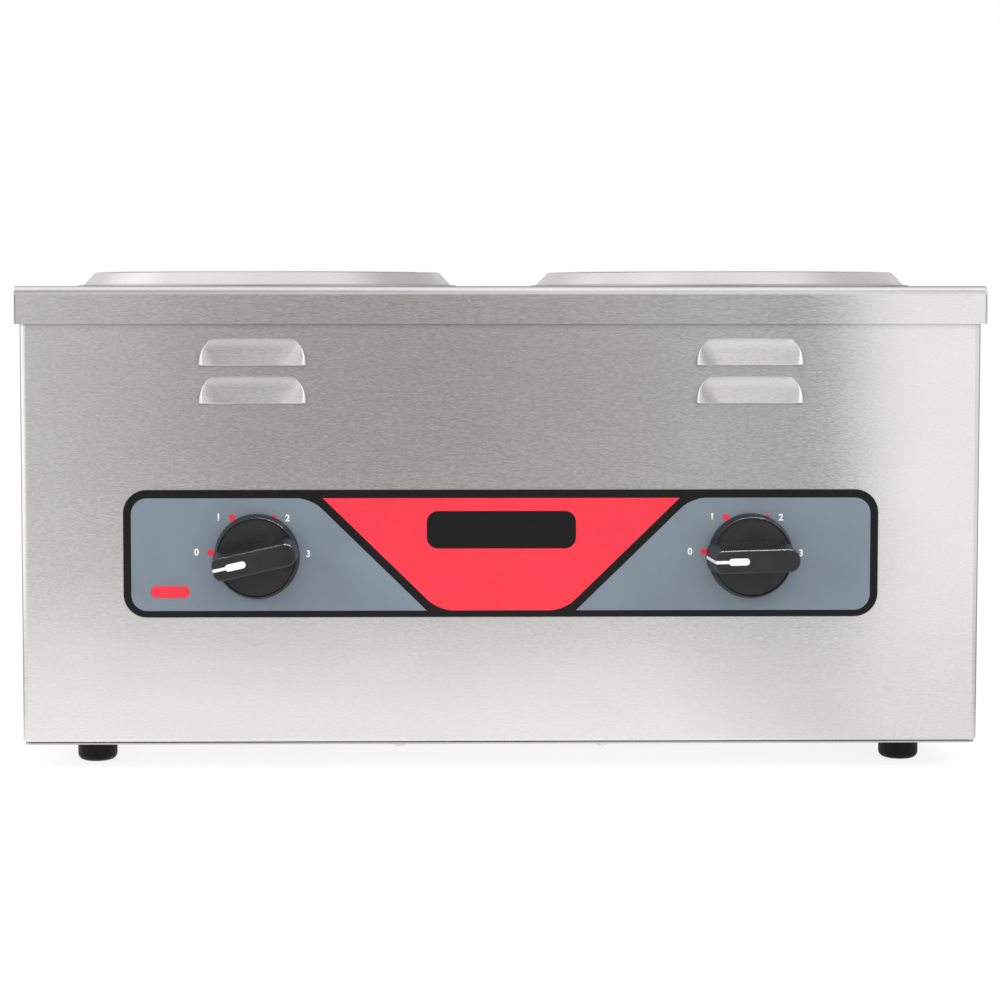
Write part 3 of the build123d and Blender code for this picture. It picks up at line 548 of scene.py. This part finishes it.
def piece_from(bm, name, material, smooth=None):
    """Turn a bmesh into a finished piece that rides on the cabinet."""
    made = put(bm, name)
    assign(made, material)
    if smooth is not None:
        made.data.shade_smooth()
        made.data.set_sharp_from_angle(angle=smooth)
    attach(made, CABINET)
    return made


def new_verts(made):
    """The vertices among what an operator made."""
    return [part for part in made["geom"] if isinstance(part, bmesh.types.BMVert)]


def outline_face(bm, corners):
    """A flat face in the XZ plane from corners (x, z, radius), each rounded by its radius."""
    verts = [bm.verts.new((x, 0, z)) for x, z, _ in corners]
    bm.faces.new(verts)
    for index, vert in enumerate(verts):
        radius = corners[index][2]
        if radius <= 0:
            continue
        before, here, after = (Vector(corners[i % len(corners)][:2]) for i in (index - 1, index, index + 1))
        offset = radius / tan((before - here).angle(after - here) / 2)
        bmesh.ops.bevel(bm, geom=[vert], offset=offset, segments=10, profile=0.5, affect="VERTICES")


def disc(bm, x, z, radius, segments, filled):
    """A circle in the XZ plane."""
    where = Matrix.Translation((x, 0, z)) @ FRONT_UP
    bmesh.ops.create_circle(bm, segments=segments, radius=radius, matrix=where, cap_ends=filled)


def punch(bm, x, z, radius):
    """Fill the outline again with a round opening in it."""
    bmesh.ops.delete(bm, geom=bm.faces[:], context="FACES_ONLY")
    disc(bm, x, z, radius, 48, False)
    bmesh.ops.triangle_fill(bm, use_beauty=True, use_dissolve=False, edges=bm.edges[:])


def raise_film(bm, back_y, thickness):
    """Give flat faces in the XZ plane a thickness towards the front, and set their back at back_y."""
    front = new_verts(bmesh.ops.extrude_face_region(bm, geom=bm.faces[:]))
    bmesh.ops.translate(bm, vec=(0, -thickness, 0), verts=front)
    bmesh.ops.translate(bm, vec=(0, back_y, 0), verts=bm.verts[:])
    bmesh.ops.recalc_face_normals(bm, faces=bm.faces[:])


def rounded_plate(x, z, width, height, corner):
    """Corners of a rectangle about a middle, for outline_face."""
    ways = ((-1, -1), (1, -1), (1, 1), (-1, 1))
    return [(x + across * width / 2, z + up * height / 2, corner) for across, up in ways]


def number_mesh(bm, text, height, weight, x, z):
    """Add a number in the XZ plane, centred, as flat faces."""
    font = bpy.data.curves.new("number", "FONT")
    font.body = text
    font.align_x = font.align_y = "CENTER"
    font.size = height / DIGIT_HEIGHT
    font.offset = height * weight
    holder = bpy.data.objects.new("number", font)
    bpy.context.scene.collection.objects.link(holder)
    mesh = mesh_of(holder)
    mesh.transform(Matrix.Translation((x, 0, z)) @ FRONT_UP)
    bm.from_mesh(mesh)
    bpy.data.curves.remove(font)
    bpy.data.meshes.remove(mesh)


def islands(node):
    """The boxes of a node's separate solids."""
    bm = bmesh.new()
    bm.from_mesh(node.data)
    bmesh.ops.remove_doubles(bm, verts=bm.verts[:], dist=0.01 * MM)
    left = set(bm.verts)
    boxes = []
    while left:
        reached, todo = [], [left.pop()]
        while todo:
            vert = todo.pop()
            reached.append(vert.co.copy())
            for edge in vert.link_edges:
                other = edge.other_vert(vert)
                if other in left:
                    left.remove(other)
                    todo.append(other)
        boxes.append([Vector([end(co[axis] for co in reached) for axis in range(3)]) for end in (min, max)])
    bm.free()
    return sorted(boxes, key=lambda box: tuple(round(v, 5) for v in box[0]))


def knob_centre(side):
    """The middle of a knob's shaft, across and up."""
    low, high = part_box(f"{side}_shaft")
    return (low.x + high.x) / 2, (low.z + high.z) / 2


# -------- operators


class WARMER_OT_sheets(bpy.types.Operator):
    """Brush the cabinet, the deck, the rear panel and the cover"""

    bl_idname = "warmer.sheets"
    bl_label = "Sheet steel"

    def execute(self, context):
        steel = context.scene.warmer_steel
        grain = (steel.grain_length, steel.grain_width, steel.grain_depth)
        upright = brushed_steel("brushed_panel", steel.panel_colour, steel.panel_roughness, *grain)
        deck = brushed_steel("brushed_deck", steel.panel_colour, steel.panel_roughness, *grain, folded=True)
        cover = brushed_steel("mill_cover", steel.cover_colour, steel.cover_roughness, *grain, folded=True)
        finish_nodes({"body_wrap": upright, "rear_panel": upright, "top_deck": deck, "bottom_cover": cover})
        return {"FINISHED"}


class WARMER_OT_louvres(bpy.types.Operator):
    """Press the four louvres with round shoulders into the cabinet's front"""

    bl_idname = "warmer.louvres"
    bl_label = "Pressed louvres"

    def execute(self, context):
        louvre = context.scene.warmer_louvre
        sheet = context.scene.warmer_steel.sheet
        material = nodes["body_wrap"].data.materials[0]
        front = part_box("control_overlay")[1].y

        bm = bmesh.new()
        bm.from_mesh(nodes["body_wrap"].data)
        bmesh.ops.remove_doubles(bm, verts=bm.verts[:], dist=0.001 * MM)
        lips = self.lips(bm)
        if len(lips) != 4:
            raise RuntimeError(f"{len(lips)} louvres found instead of 4")
        bmesh.ops.delete(bm, geom=self.bulges(bm, louvre, sheet, front, lips), context="FACES")
        edges = [edge for edge in bm.edges if edge.is_boundary]
        patches = bmesh.ops.holes_fill(bm, edges=edges, sides=0)["faces"]
        for x, z in lips:
            self.opening(bm, louvre, patches, x, z)
        bmesh.ops.triangulate(bm, faces=[face for face in bm.faces if len(face.verts) > 4])
        if any(not edge.is_manifold for edge in bm.edges):
            raise RuntimeError("the front isn't closed")
        wrap = piece_from(bm, "pressed_wrap", material, smooth=radians(25))
        wrap.modifiers.new("flat_faces", "WEIGHTED_NORMAL").keep_sharp = True
        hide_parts("body_wrap")

        hoods = bmesh.new()
        for x, z in lips:
            self.hood(hoods, louvre, sheet, Vector((x, front, z)))
        piece_from(hoods, "louvre_hoods", material, smooth=radians(50))
        return {"FINISHED"}

    def lips(self, bm):
        """The middle and the height of each louvre's lip: its vertices stand out furthest."""
        furthest = min(vert.co.y for vert in bm.verts)
        found = {}
        for vert in bm.verts:
            if vert.co.y < furthest + 0.1 * MM:
                found.setdefault((vert.co.x > 0, round(vert.co.z, 4)), []).append(vert.co.x)
        return [((min(across) + max(across)) / 2, z) for (_, z), across in sorted(found.items())]

    def bulges(self, bm, louvre, sheet, front, lips):
        """The faces of the four bulges, without the flat faces of the sheet round them."""
        found = []
        margin = 4 * MM
        for face in bm.faces:
            centre = face.calc_center_median()
            flat = any(all(abs(v.co.y - y) < 0.01 * MM for v in face.verts) for y in (front, front + sheet))
            near = any(
                abs(centre.x - x) < louvre.half_width + margin and -margin < centre.z - z < louvre.height + margin
                for x, z in lips
            )
            if near and not flat and centre.y < front + sheet:
                found.append(face)
        return found

    def opening(self, bm, louvre, patches, x, z):
        """The opening behind a hood, cut through the filled front and back of the sheet."""

        def within(face, half, height):
            """Whether a face's middle lies this far to the sides of, and above, the lip's middle."""
            centre = face.calc_center_median()
            return abs(centre.x - x) < half and 0 < centre.z - z < height

        low = Vector((x - louvre.open_half, 0, z))
        high = Vector((x + louvre.open_half, 0, z + louvre.open_height))
        patch = [face for face in patches if face.is_valid and within(face, louvre.half_width, louvre.height)]
        for across in ((1, 0, 0), (0, 0, 1)):
            for corner in (low, high):
                geom = list(dict.fromkeys(part for face in patch for part in (face, *face.edges, *face.verts)))
                cut = bmesh.ops.bisect_plane(bm, geom=geom, plane_co=corner, plane_no=across, dist=0.0001 * MM)
                patch = [part for part in cut["geom"] if isinstance(part, bmesh.types.BMFace)]
        inside = [face for face in patch if within(face, louvre.open_half, louvre.open_height)]
        bmesh.ops.delete(bm, geom=inside, context="FACES")
        bmesh.ops.bridge_loops(bm, edges=[edge for edge in bm.edges if edge.is_boundary])

    def hood(self, bm, louvre, sheet, lip):
        """One hood: a bulge that leans out to its lip, round at the shoulders, and hollow behind."""
        grid = bmesh.ops.create_grid(bm, x_segments=72, y_segments=36, size=1)["verts"]
        slope = louvre.reach / louvre.knee
        blend = 2 * (louvre.height - louvre.knee)
        for vert in grid:
            across = sin(vert.co.x * pi / 2)
            rows = (vert.co.y + 1) / 2
            share_up = rows - 0.8 * sin(2 * pi * rows) / (2 * pi)  # rows lie closer near the lip and the top
            up = share_up * louvre.height
            down = louvre.height - up
            half = louvre.top_half + (louvre.half_width - louvre.top_half) * max(0, 1 - share_up**2) ** 0.5
            rise = slope * down**2 / (2 * blend) if down < blend else louvre.reach - slope * up
            if up < louvre.lip_round:
                rise -= louvre.lip_round - (louvre.lip_round**2 - (louvre.lip_round - up) ** 2) ** 0.5
            rise *= max(0, 1 - abs(across) ** louvre.shoulder) ** (1 / louvre.shoulder)
            vert.co = across * half, louvre.seat - rise, up
        faces = list(dict.fromkeys(face for vert in grid for face in vert.link_faces))
        inner = new_verts(bmesh.ops.extrude_face_region(bm, geom=faces))
        wall = 0.9 * sheet  # the sheet is a little thinner where it is stretched
        bmesh.ops.scale(bm, vec=(1 - sheet / louvre.half_width, 1, 1), verts=inner)
        bmesh.ops.translate(bm, vec=(0, wall, 0), verts=inner)
        bmesh.ops.translate(bm, vec=lip, verts=grid + inner)
        bmesh.ops.recalc_face_normals(bm, faces=bm.faces[:])


class WARMER_OT_wells(bpy.types.Operator):
    """Give the wells the rings and the satin of drawn steel"""

    bl_idname = "warmer.wells"
    bl_label = "Wells"

    def execute(self, context):
        steel = context.scene.warmer_steel
        for side in SIDES:
            low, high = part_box(f"{side}_well")
            look = (steel.well_colour, steel.well_roughness, (low + high) / 2, steel.grain_depth)
            assign(nodes[f"{side}_well"], spun_steel(f"{side}_spun_steel", *look))
        return {"FINISHED"}


class WARMER_OT_overlay(bpy.types.Operator):
    """Print the control plate: a black ground, two grey fields, a red field, a badge and a pill"""

    bl_idname = "warmer.overlay"
    bl_label = "Control overlay"

    def execute(self, context):
        ink = context.scene.warmer_print
        black = printed_film("black_film", ink.black_ink)
        grey = printed_film("grey_film", ink.grey_ink)
        red = printed_film("red_film", ink.red_ink)
        assign(nodes["control_overlay"], black)
        x, z = overlay_middle.x, overlay_middle.z
        top, foot = z + ink.field_top, z - ink.field_foot

        for side, way in (("left", -1), ("right", 1)):
            corners = [
                (x + way * ink.field_side, foot, ink.field_corner),
                (x + way * (ink.red_foot_half + ink.band_width), foot, 0),
                (x + way * (ink.red_top_half + ink.band_width), top, ink.slant_corner),
                (x + way * ink.field_side, top, ink.field_corner),
            ]
            self.printed(f"{side}_grey_field", corners, grey, 0, knob_centre(side))
        corners = [
            (x - ink.red_foot_half, foot, ink.slant_corner),
            (x + ink.red_foot_half, foot, ink.slant_corner),
            (x + ink.red_top_half, top, 0),
            (x - ink.red_top_half, top, 0),
        ]
        self.printed("red_field", corners, red, 0)
        badge = rounded_plate(x, z + ink.badge_rise, ink.badge_width, ink.badge_height, ink.badge_corner)
        self.printed("bare_badge", badge, black, 1)
        pill_corner = 0.499 * ink.pill_height  # as good as round, and still a short straight side
        place = (x - ink.pill_side, z - ink.pill_drop)
        pill = rounded_plate(*place, ink.pill_width, ink.pill_height, pill_corner)
        self.printed("bare_pill", pill, red, 1)
        return {"FINISHED"}

    def printed(self, name, corners, material, layers_below, hole=None):
        """One field of ink, on top of so many others, with an opening for a knob's bush."""
        ink = bpy.context.scene.warmer_print
        bm = bmesh.new()
        outline_face(bm, corners)
        if hole:
            punch(bm, *hole, ink.bush_opening)
        raise_film(bm, overlay_face - layers_below * ink.ink_step, ink.ink_step)
        piece_from(bm, name, material)


class WARMER_OT_dials(bpy.types.Operator):
    """Print each dial's dots and plain numbers"""

    bl_idname = "warmer.dials"
    bl_label = "Dial marks"

    def execute(self, context):
        ink = context.scene.warmer_print
        dial = context.scene.warmer_dial
        red = printed_film("dot_film", ink.red_ink)
        white = printed_film("number_film", ink.white_ink)
        back = overlay_face - ink.ink_step
        for side in SIDES:
            knob_x, knob_z = knob_centre(side)
            middle = Vector((knob_x - dial.circle_shift, knob_z + dial.circle_rise))
            dots, numbers = bmesh.new(), bmesh.new()
            for step in range(4):
                turn = (pi - dial.zero_lift) * (1 - step / 3)
                way = Vector((cos(turn), sin(turn)))
                dot = middle + way * dial.circle_radius
                disc(dots, *dot, dial.dot_radius, 24, True)
                beside = dot + Vector((dial.number_gap if way.x > 0 else -dial.number_gap, 0))
                number_mesh(numbers, str(step), dial.number_height, dial.number_weight, *beside)
            for bm, name, material in ((dots, "dots", red), (numbers, "numbers", white)):
                raise_film(bm, back, ink.ink_step)
                piece_from(bm, f"{side}_dial_{name}", material)
        return {"FINISHED"}


class WARMER_OT_knobs(bpy.types.Operator):
    """Finish the knobs, their pointer lines and their shafts"""

    bl_idname = "warmer.knobs"
    bl_label = "Knobs"

    def execute(self, context):
        plastic = context.scene.warmer_plastic
        steel = context.scene.warmer_steel
        black = moulded("knob_plastic", plastic.knob_colour, plastic.knob_roughness, 0.8 * MM, 0.05 * MM)
        white = moulded("pointer_fill", plastic.pointer_colour, 0.5, 0.6 * MM, 0.01 * MM, 0.96)
        shaft = plated("shaft_steel", steel.plate_colour, 0.3)
        finish_nodes({"_knob": black, "_knob_pointer": white, "_shaft": shaft})
        return {"FINISHED"}


class WARMER_OT_feet(bpy.types.Operator):
    """Finish the rubber feet and the supply gland"""

    bl_idname = "warmer.feet"
    bl_label = "Feet and gland"

    def execute(self, context):
        plastic = context.scene.warmer_plastic
        rubber = (plastic.rubber_colour, 0.5, 0.4 * MM, 0.02 * MM, 1.3)
        feet = dict.fromkeys(FEET, moulded("foot_rubber", *rubber, Specular_IOR_Level=0.18))
        gland = moulded("gland_plastic", plastic.gland_colour, 0.45, 0.6 * MM, 0.02 * MM)
        finish_nodes({**feet, "supply_gland": gland})
        return {"FINISHED"}


class WARMER_OT_hardware(bpy.types.Operator):
    """Finish the screws, the nuts and what is inside the cabinet"""

    bl_idname = "warmer.hardware"
    bl_label = "Hardware and inside"

    def execute(self, context):
        steel = context.scene.warmer_steel
        plastic = context.scene.warmer_plastic
        zinc = plated("zinc_plate", steel.plate_colour, 0.32)
        brass = plated("plain_brass", steel.brass_colour, 0.3)
        finishes = {
            "screws": plated("bright_nickel", steel.nickel_colour, 0.2),
            "nuts": zinc,
            "bush_nut": zinc,
            "heater_clamp": zinc,
            "ground_screw": brass,
            "ground_nut": brass,
            "terminal_screws": brass,
            "regulator_blades": brass,
            "heater": plated("heater_sheath", steel.sheath_colour, 0.5, 0.9),
            "heat_shield": plated("bright_aluminium", steel.shield_colour, 0.3),
            "regulator": moulded("regulator_case", plastic.case_colour, 0.5, 0.5 * MM, 0.02 * MM),
            "terminal_block": moulded("glazed_block", plastic.block_colour, 0.2, 1.0 * MM, 0.01 * MM, 0.94),
            "insulation_jacket": moulded("woven_fibre", plastic.jacket_colour, 0.85, 1.2 * MM, 0.25 * MM, 0.85),
            "lead": braided("braided_sleeve", plastic.sleeve_colour, 0.7, 0.7 * MM, 0.08 * MM),
        }
        finish_nodes(finishes)
        return {"FINISHED"}


class WARMER_OT_screws(bpy.types.Operator):
    """Put pan heads with a cross recess on the screws that show from outside"""

    bl_idname = "warmer.screws"
    bl_label = "Cross-head screws"

    def execute(self, context):
        screw = context.scene.warmer_screw
        steel = context.scene.warmer_steel
        nickel = plated("nickel_plate", steel.nickel_colour, 0.22)
        brass = plated("screw_brass", steel.brass_colour, 0.28)
        back, down = Vector((0, 1, 0)), Vector((0, 0, -1))
        for name, way, material, slot in (
            ("rear_panel_screws", back, nickel, "bright_screws"),
            ("ground_screw", back, brass, "ground_brass"),
            ("bottom_cover_screws", down, nickel, "bright_screws"),
            ("foot_screws", down, nickel, "bright_screws"),
        ):
            turn = way.to_track_quat("Z", "Y").to_matrix().to_4x4()  # stands a screw along its way out
            bm = bmesh.new()
            for index, (low, high) in enumerate(islands(nodes[name])):
                reach = abs((high - low).dot(way))
                seat = (low + high) / 2 + way * (reach / 2 - screw.head_height)
                pattern = self.pan_head(screw, reach - screw.head_height)
                spin = Matrix.Rotation(radians(23 + 37 * index), 4, "Z")  # no two crosses stand alike
                pattern.transform(Matrix.Translation(seat) @ turn @ spin)
                bm.from_mesh(pattern)
                bpy.data.meshes.remove(pattern)
            piece = piece_from(bm, f"{name}_cross_heads", material, smooth=radians(35))
            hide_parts(name)
        return {"FINISHED"}

    def pan_head(self, screw, shank):
        """One screw along Z, with its head's seat at the origin, as a mesh."""
        head = put(self.turned(screw, shank), "pan_head")
        cutter = put(self.cross(screw), "cross_recess")
        cut = head.modifiers.new("recess", "BOOLEAN")
        cut.operation = "DIFFERENCE"
        cut.object = cutter
        mesh = mesh_of(head)
        for obj in (head, cutter):
            bpy.data.meshes.remove(obj.data)
        return mesh

    def turned(self, screw, shank):
        """The screw without its recess, turned about Z."""
        dome = screw.head_height - screw.dome_round
        flat = screw.head_radius - screw.dome_round
        tip = screw.tip_chamfer
        outline = [(0, -shank), (screw.shank_radius - tip, -shank), (screw.shank_radius, tip - shank)]
        outline += [(screw.shank_radius, 0), (screw.head_radius, 0)]
        for step in range(7):
            turn = step * pi / 12
            outline.append((flat + screw.dome_round * cos(turn), dome + screw.dome_round * sin(turn)))
        outline.append((0, screw.head_height))
        bm = bmesh.new()
        verts = [bm.verts.new((radius, 0, z)) for radius, z in outline]
        edges = [bm.edges.new(pair) for pair in zip(verts, verts[1:])]
        about = {"cent": (0, 0, 0), "axis": (0, 0, 1), "angle": 2 * pi}
        bmesh.ops.spin(bm, geom=verts + edges, steps=32, use_merge=True, **about)
        bmesh.ops.remove_doubles(bm, verts=bm.verts[:], dist=1e-6)
        bmesh.ops.recalc_face_normals(bm, faces=bm.faces[:])
        return bm

    def cross(self, screw):
        """The cross recess, with a little of the space above the head."""
        half, reach = screw.recess_width / 2, screw.recess_reach
        above = screw.head_height + half
        bm = bmesh.new()
        outline = []
        for quarter in range(4):
            turn = Matrix.Rotation(quarter * pi / 2, 2)
            for corner in ((reach, -half), (reach, half), (half, half)):
                outline.append(bm.verts.new((*(turn @ Vector(corner)), above)))
        foot = new_verts(bmesh.ops.extrude_face_region(bm, geom=[bm.faces.new(outline)]))
        bmesh.ops.translate(bm, vec=(0, 0, -screw.recess_depth - half), verts=foot)
        bmesh.ops.scale(bm, vec=(0.55, 0.55, 1), verts=foot)  # the recess narrows as it goes down
        bmesh.ops.recalc_face_normals(bm, faces=bm.faces[:])
        return bm


class WARMER_OT_stage(bpy.types.Operator):
    """Set up the floor, the room, the lights and the camera"""

    bl_idname = "warmer.stage"
    bl_label = "Stage"

    def execute(self, context):
        stage = context.scene.warmer_stage
        self.floor(stage)
        self.room(context.scene, stage)
        self.lamps()
        self.camera(context.scene, stage)
        context.scene.view_settings.view_transform = "Standard"
        return {"FINISHED"}

    def floor(self, stage):
        """A floor that shows white with a soft shadow, and fades out round the object in the steel."""
        bm = bmesh.new()
        bmesh.ops.create_grid(bm, x_segments=1, y_segments=1, size=stage.floor_half)
        floor = put(bm, "floor")
        pale = Finish("pale_floor", (0.86, 0.86, 0.86), 0.0, 0.8)
        rays = pale.add("LightPath").outputs
        white = pale.add("Emission", {"Color": (1, 1, 1, 1), "Strength": 1.18}).outputs[0]
        seen = pale.math("MAXIMUM", rays["Is Camera Ray"], rays["Is Transmission Ray"])
        share_white = pale.math("MULTIPLY", seen, 0.7)  # the rest keeps the object's shadow
        lit = pale.shader_mix(share_white, pale.shader.outputs[0], white)

        half = (cad_box[1] - cad_box[0]) / 2
        past = pale.vector_math("SUBTRACT", pale.vector_math("ABSOLUTE", pale.position), (half.x, half.y, 0))
        away = pale.size(pale.vector_math("MAXIMUM", past))
        reach = {1: stage.table_bright, 2: stage.table_fade, 3: 1.0, 4: 0.0}
        fade = pale.add("MapRange", {"interpolation_type": "SMOOTHSTEP", **reach}, n0=away).outputs[0]
        x, y, _ = pale.split(pale.position)
        to_right, past_ends, to_back = (0.12, 0.21), (0.38, 0.55), (-0.16, 0.0)  # where the glow changes
        glow = pale.spread(x, stage.table_left, stage.table_right, *to_right)
        beside = pale.spread(pale.math("ABSOLUTE", x), 1.0, stage.table_dim, *past_ends)
        behind = pale.spread(y, 1.0, stage.table_dim, *to_back)
        glow = pale.math("MULTIPLY", pale.math("MULTIPLY", glow, beside), behind)
        table = pale.add("Emission", {"Color": (1, 0.995, 0.985, 1)}, Strength=glow).outputs[0]
        mirrored = pale.shader_mix(fade, pale.add("BsdfTransparent").outputs[0], table)
        output = pale.tree.nodes["Material Output"]
        pale.feed(output.inputs["Surface"], pale.shader_mix(rays["Is Glossy Ray"], lit, mirrored))
        assign(floor, pale.material)

    def room(self, scene, stage):
        """White to the camera, plain light on the object, and soft light and dark walls in the steel."""
        scene.world = bpy.data.worlds.new("room")
        scene.world.use_nodes = True
        room = Nodes(scene.world.node_tree)
        x, y, z = room.split(room.add("TexCoord").outputs["Generated"])
        height = room.math("ARCSINE", z)
        bearing = room.math("ARCTAN2", x, room.math("MULTIPLY", y, -1.0))
        bearing = room.math("ADD", bearing, room.math("MULTIPLY", height, stage.lean))
        place = room.spread(bearing, 0.0, 1.0, -pi, pi)
        walls = [
            ((degrees + 180) / 360, (tone * (1 + warmth), tone, tone * (1 - 1.5 * warmth), side))
            for degrees, tone, warmth, side in WALLS
        ]
        walls = room.ramp(place, walls).outputs
        turn = room.ramp(place, [((degrees + 180) / 360, (factor,) * 3 + (1,)) for degrees, factor in TURN])
        sky = [((degrees + 90) / 180, (tone, side, follows, cover)) for degrees, tone, cover, side, follows in SKY]
        sky = room.ramp(room.spread(height, 0.0, 1.0, -pi / 2, pi / 2), sky).outputs
        tone, side, follows = room.add("SeparateColor", n0=sky["Color"]).outputs
        turned = room.add("MapRange", {3: 1.0}, n0=follows, n4=turn.outputs["Color"]).outputs[0]
        mirrored = room.blend(sky["Alpha"], walls["Color"], room.math("MULTIPLY", tone, turned))
        mirrored = room.blend(1.0, mirrored, room.math("MULTIPLY", side, walls["Alpha"]), "ADD")
        rays = room.add("LightPath").outputs
        seen = room.math("MAXIMUM", rays["Is Camera Ray"], rays["Is Transmission Ray"])
        plain = room.spread(seen, stage.room_light, 1.0, 0, 1)
        background = room.tree.nodes["Background"]
        room.feed(background.inputs["Color"], room.blend(rays["Is Glossy Ray"], plain, mirrored))

    def lamps(self):
        """Broad soft boxes above the front, to the left and to the right, and a strip for dark edges."""
        middle = (0, 0, 0.15)
        for name, place, size, power in (
            ("soft_top", (0.0, -0.5, 1.7), 1.6, 12.0),
            ("soft_left", (-1.5, -1.2, 0.9), 0.9, 9.0),
            ("soft_right", (1.5, -1.0, 1.0), 0.9, 7.0),
        ):
            self.lamp(name, place, middle, (size, size), power).visible_glossy = False
        strip = self.lamp("edge_strip", (0.2, -0.75, 1.45), (0, -0.15, 0.13), (1.3, 0.4), 80.0)
        strip.visible_diffuse = False
        shiny = bpy.data.collections.new("edge_light_receivers")
        for name in (*FEET, "left_knob", "right_knob", "supply_gland"):
            shiny.objects.link(nodes[name])
        strip.light_linking.receiver_collection = shiny

    def lamp(self, name, place, aim, size, power):
        """A rectangular lamp that points at a place."""
        data = bpy.data.lights.new(name, "AREA")
        data.shape = "RECTANGLE"
        data.size, data.size_y = size
        data.energy = power
        made = bpy.data.objects.new(name, data)
        made.location = place
        made.rotation_euler = (Vector(aim) - Vector(place)).to_track_quat("-Z", "Y").to_euler()
        bpy.context.scene.collection.objects.link(made)
        return made

    def camera(self, scene, stage):
        """The photograph's viewpoint."""
        data = bpy.data.cameras.new("camera")
        data.lens = stage.lens
        data.sensor_fit = "HORIZONTAL"
        data.shift_x = stage.shift_x
        data.shift_y = stage.shift_y
        camera = bpy.data.objects.new("camera", data)
        camera.location = stage.camera_place
        camera.rotation_euler = (pi / 2 - stage.camera_pitch, 0, -stage.camera_yaw)
        scene.collection.objects.link(camera)
        scene.camera = camera


OPERATORS = (
    WARMER_OT_sheets,
    WARMER_OT_louvres,
    WARMER_OT_wells,
    WARMER_OT_overlay,
    WARMER_OT_dials,
    WARMER_OT_knobs,
    WARMER_OT_feet,
    WARMER_OT_hardware,
    WARMER_OT_screws,
    WARMER_OT_stage,
)


class WARMER_PT_panel(bpy.types.Panel):
    """Lists the warmer's pieces and their sizes and colours"""

    bl_idname = "WARMER_PT_panel"
    bl_label = "Food warmer"
    bl_space_type = "VIEW_3D"
    bl_region_type = "UI"
    bl_category = "Food warmer"

    def draw(self, context):
        layout = self.layout
        for operator in OPERATORS:
            layout.operator(operator.bl_idname)
        for name, group in GROUPS.items():
            box = layout.box()
            for key in group.__annotations__:
                box.prop(getattr(context.scene, name), key, text=key.replace("_", " ").capitalize())


def register():
    for group in GROUPS.values():
        bpy.utils.register_class(group)
    for name, group in GROUPS.items():
        setattr(bpy.types.Scene, name, bpy.props.PointerProperty(type=group))
    for operator in OPERATORS:
        bpy.utils.register_class(operator)
    bpy.utils.register_class(WARMER_PT_panel)


def unregister():
    bpy.utils.unregister_class(WARMER_PT_panel)
    for operator in reversed(OPERATORS):
        bpy.utils.unregister_class(operator)
    for name in GROUPS:
        delattr(bpy.types.Scene, name)
    for group in GROUPS.values():
        bpy.utils.unregister_class(group)


def main():
    register()
    for operator in OPERATORS:
        getattr(bpy.ops.warmer, operator.bl_idname.removeprefix("warmer."))()


if __name__ == "__main__":
    main()
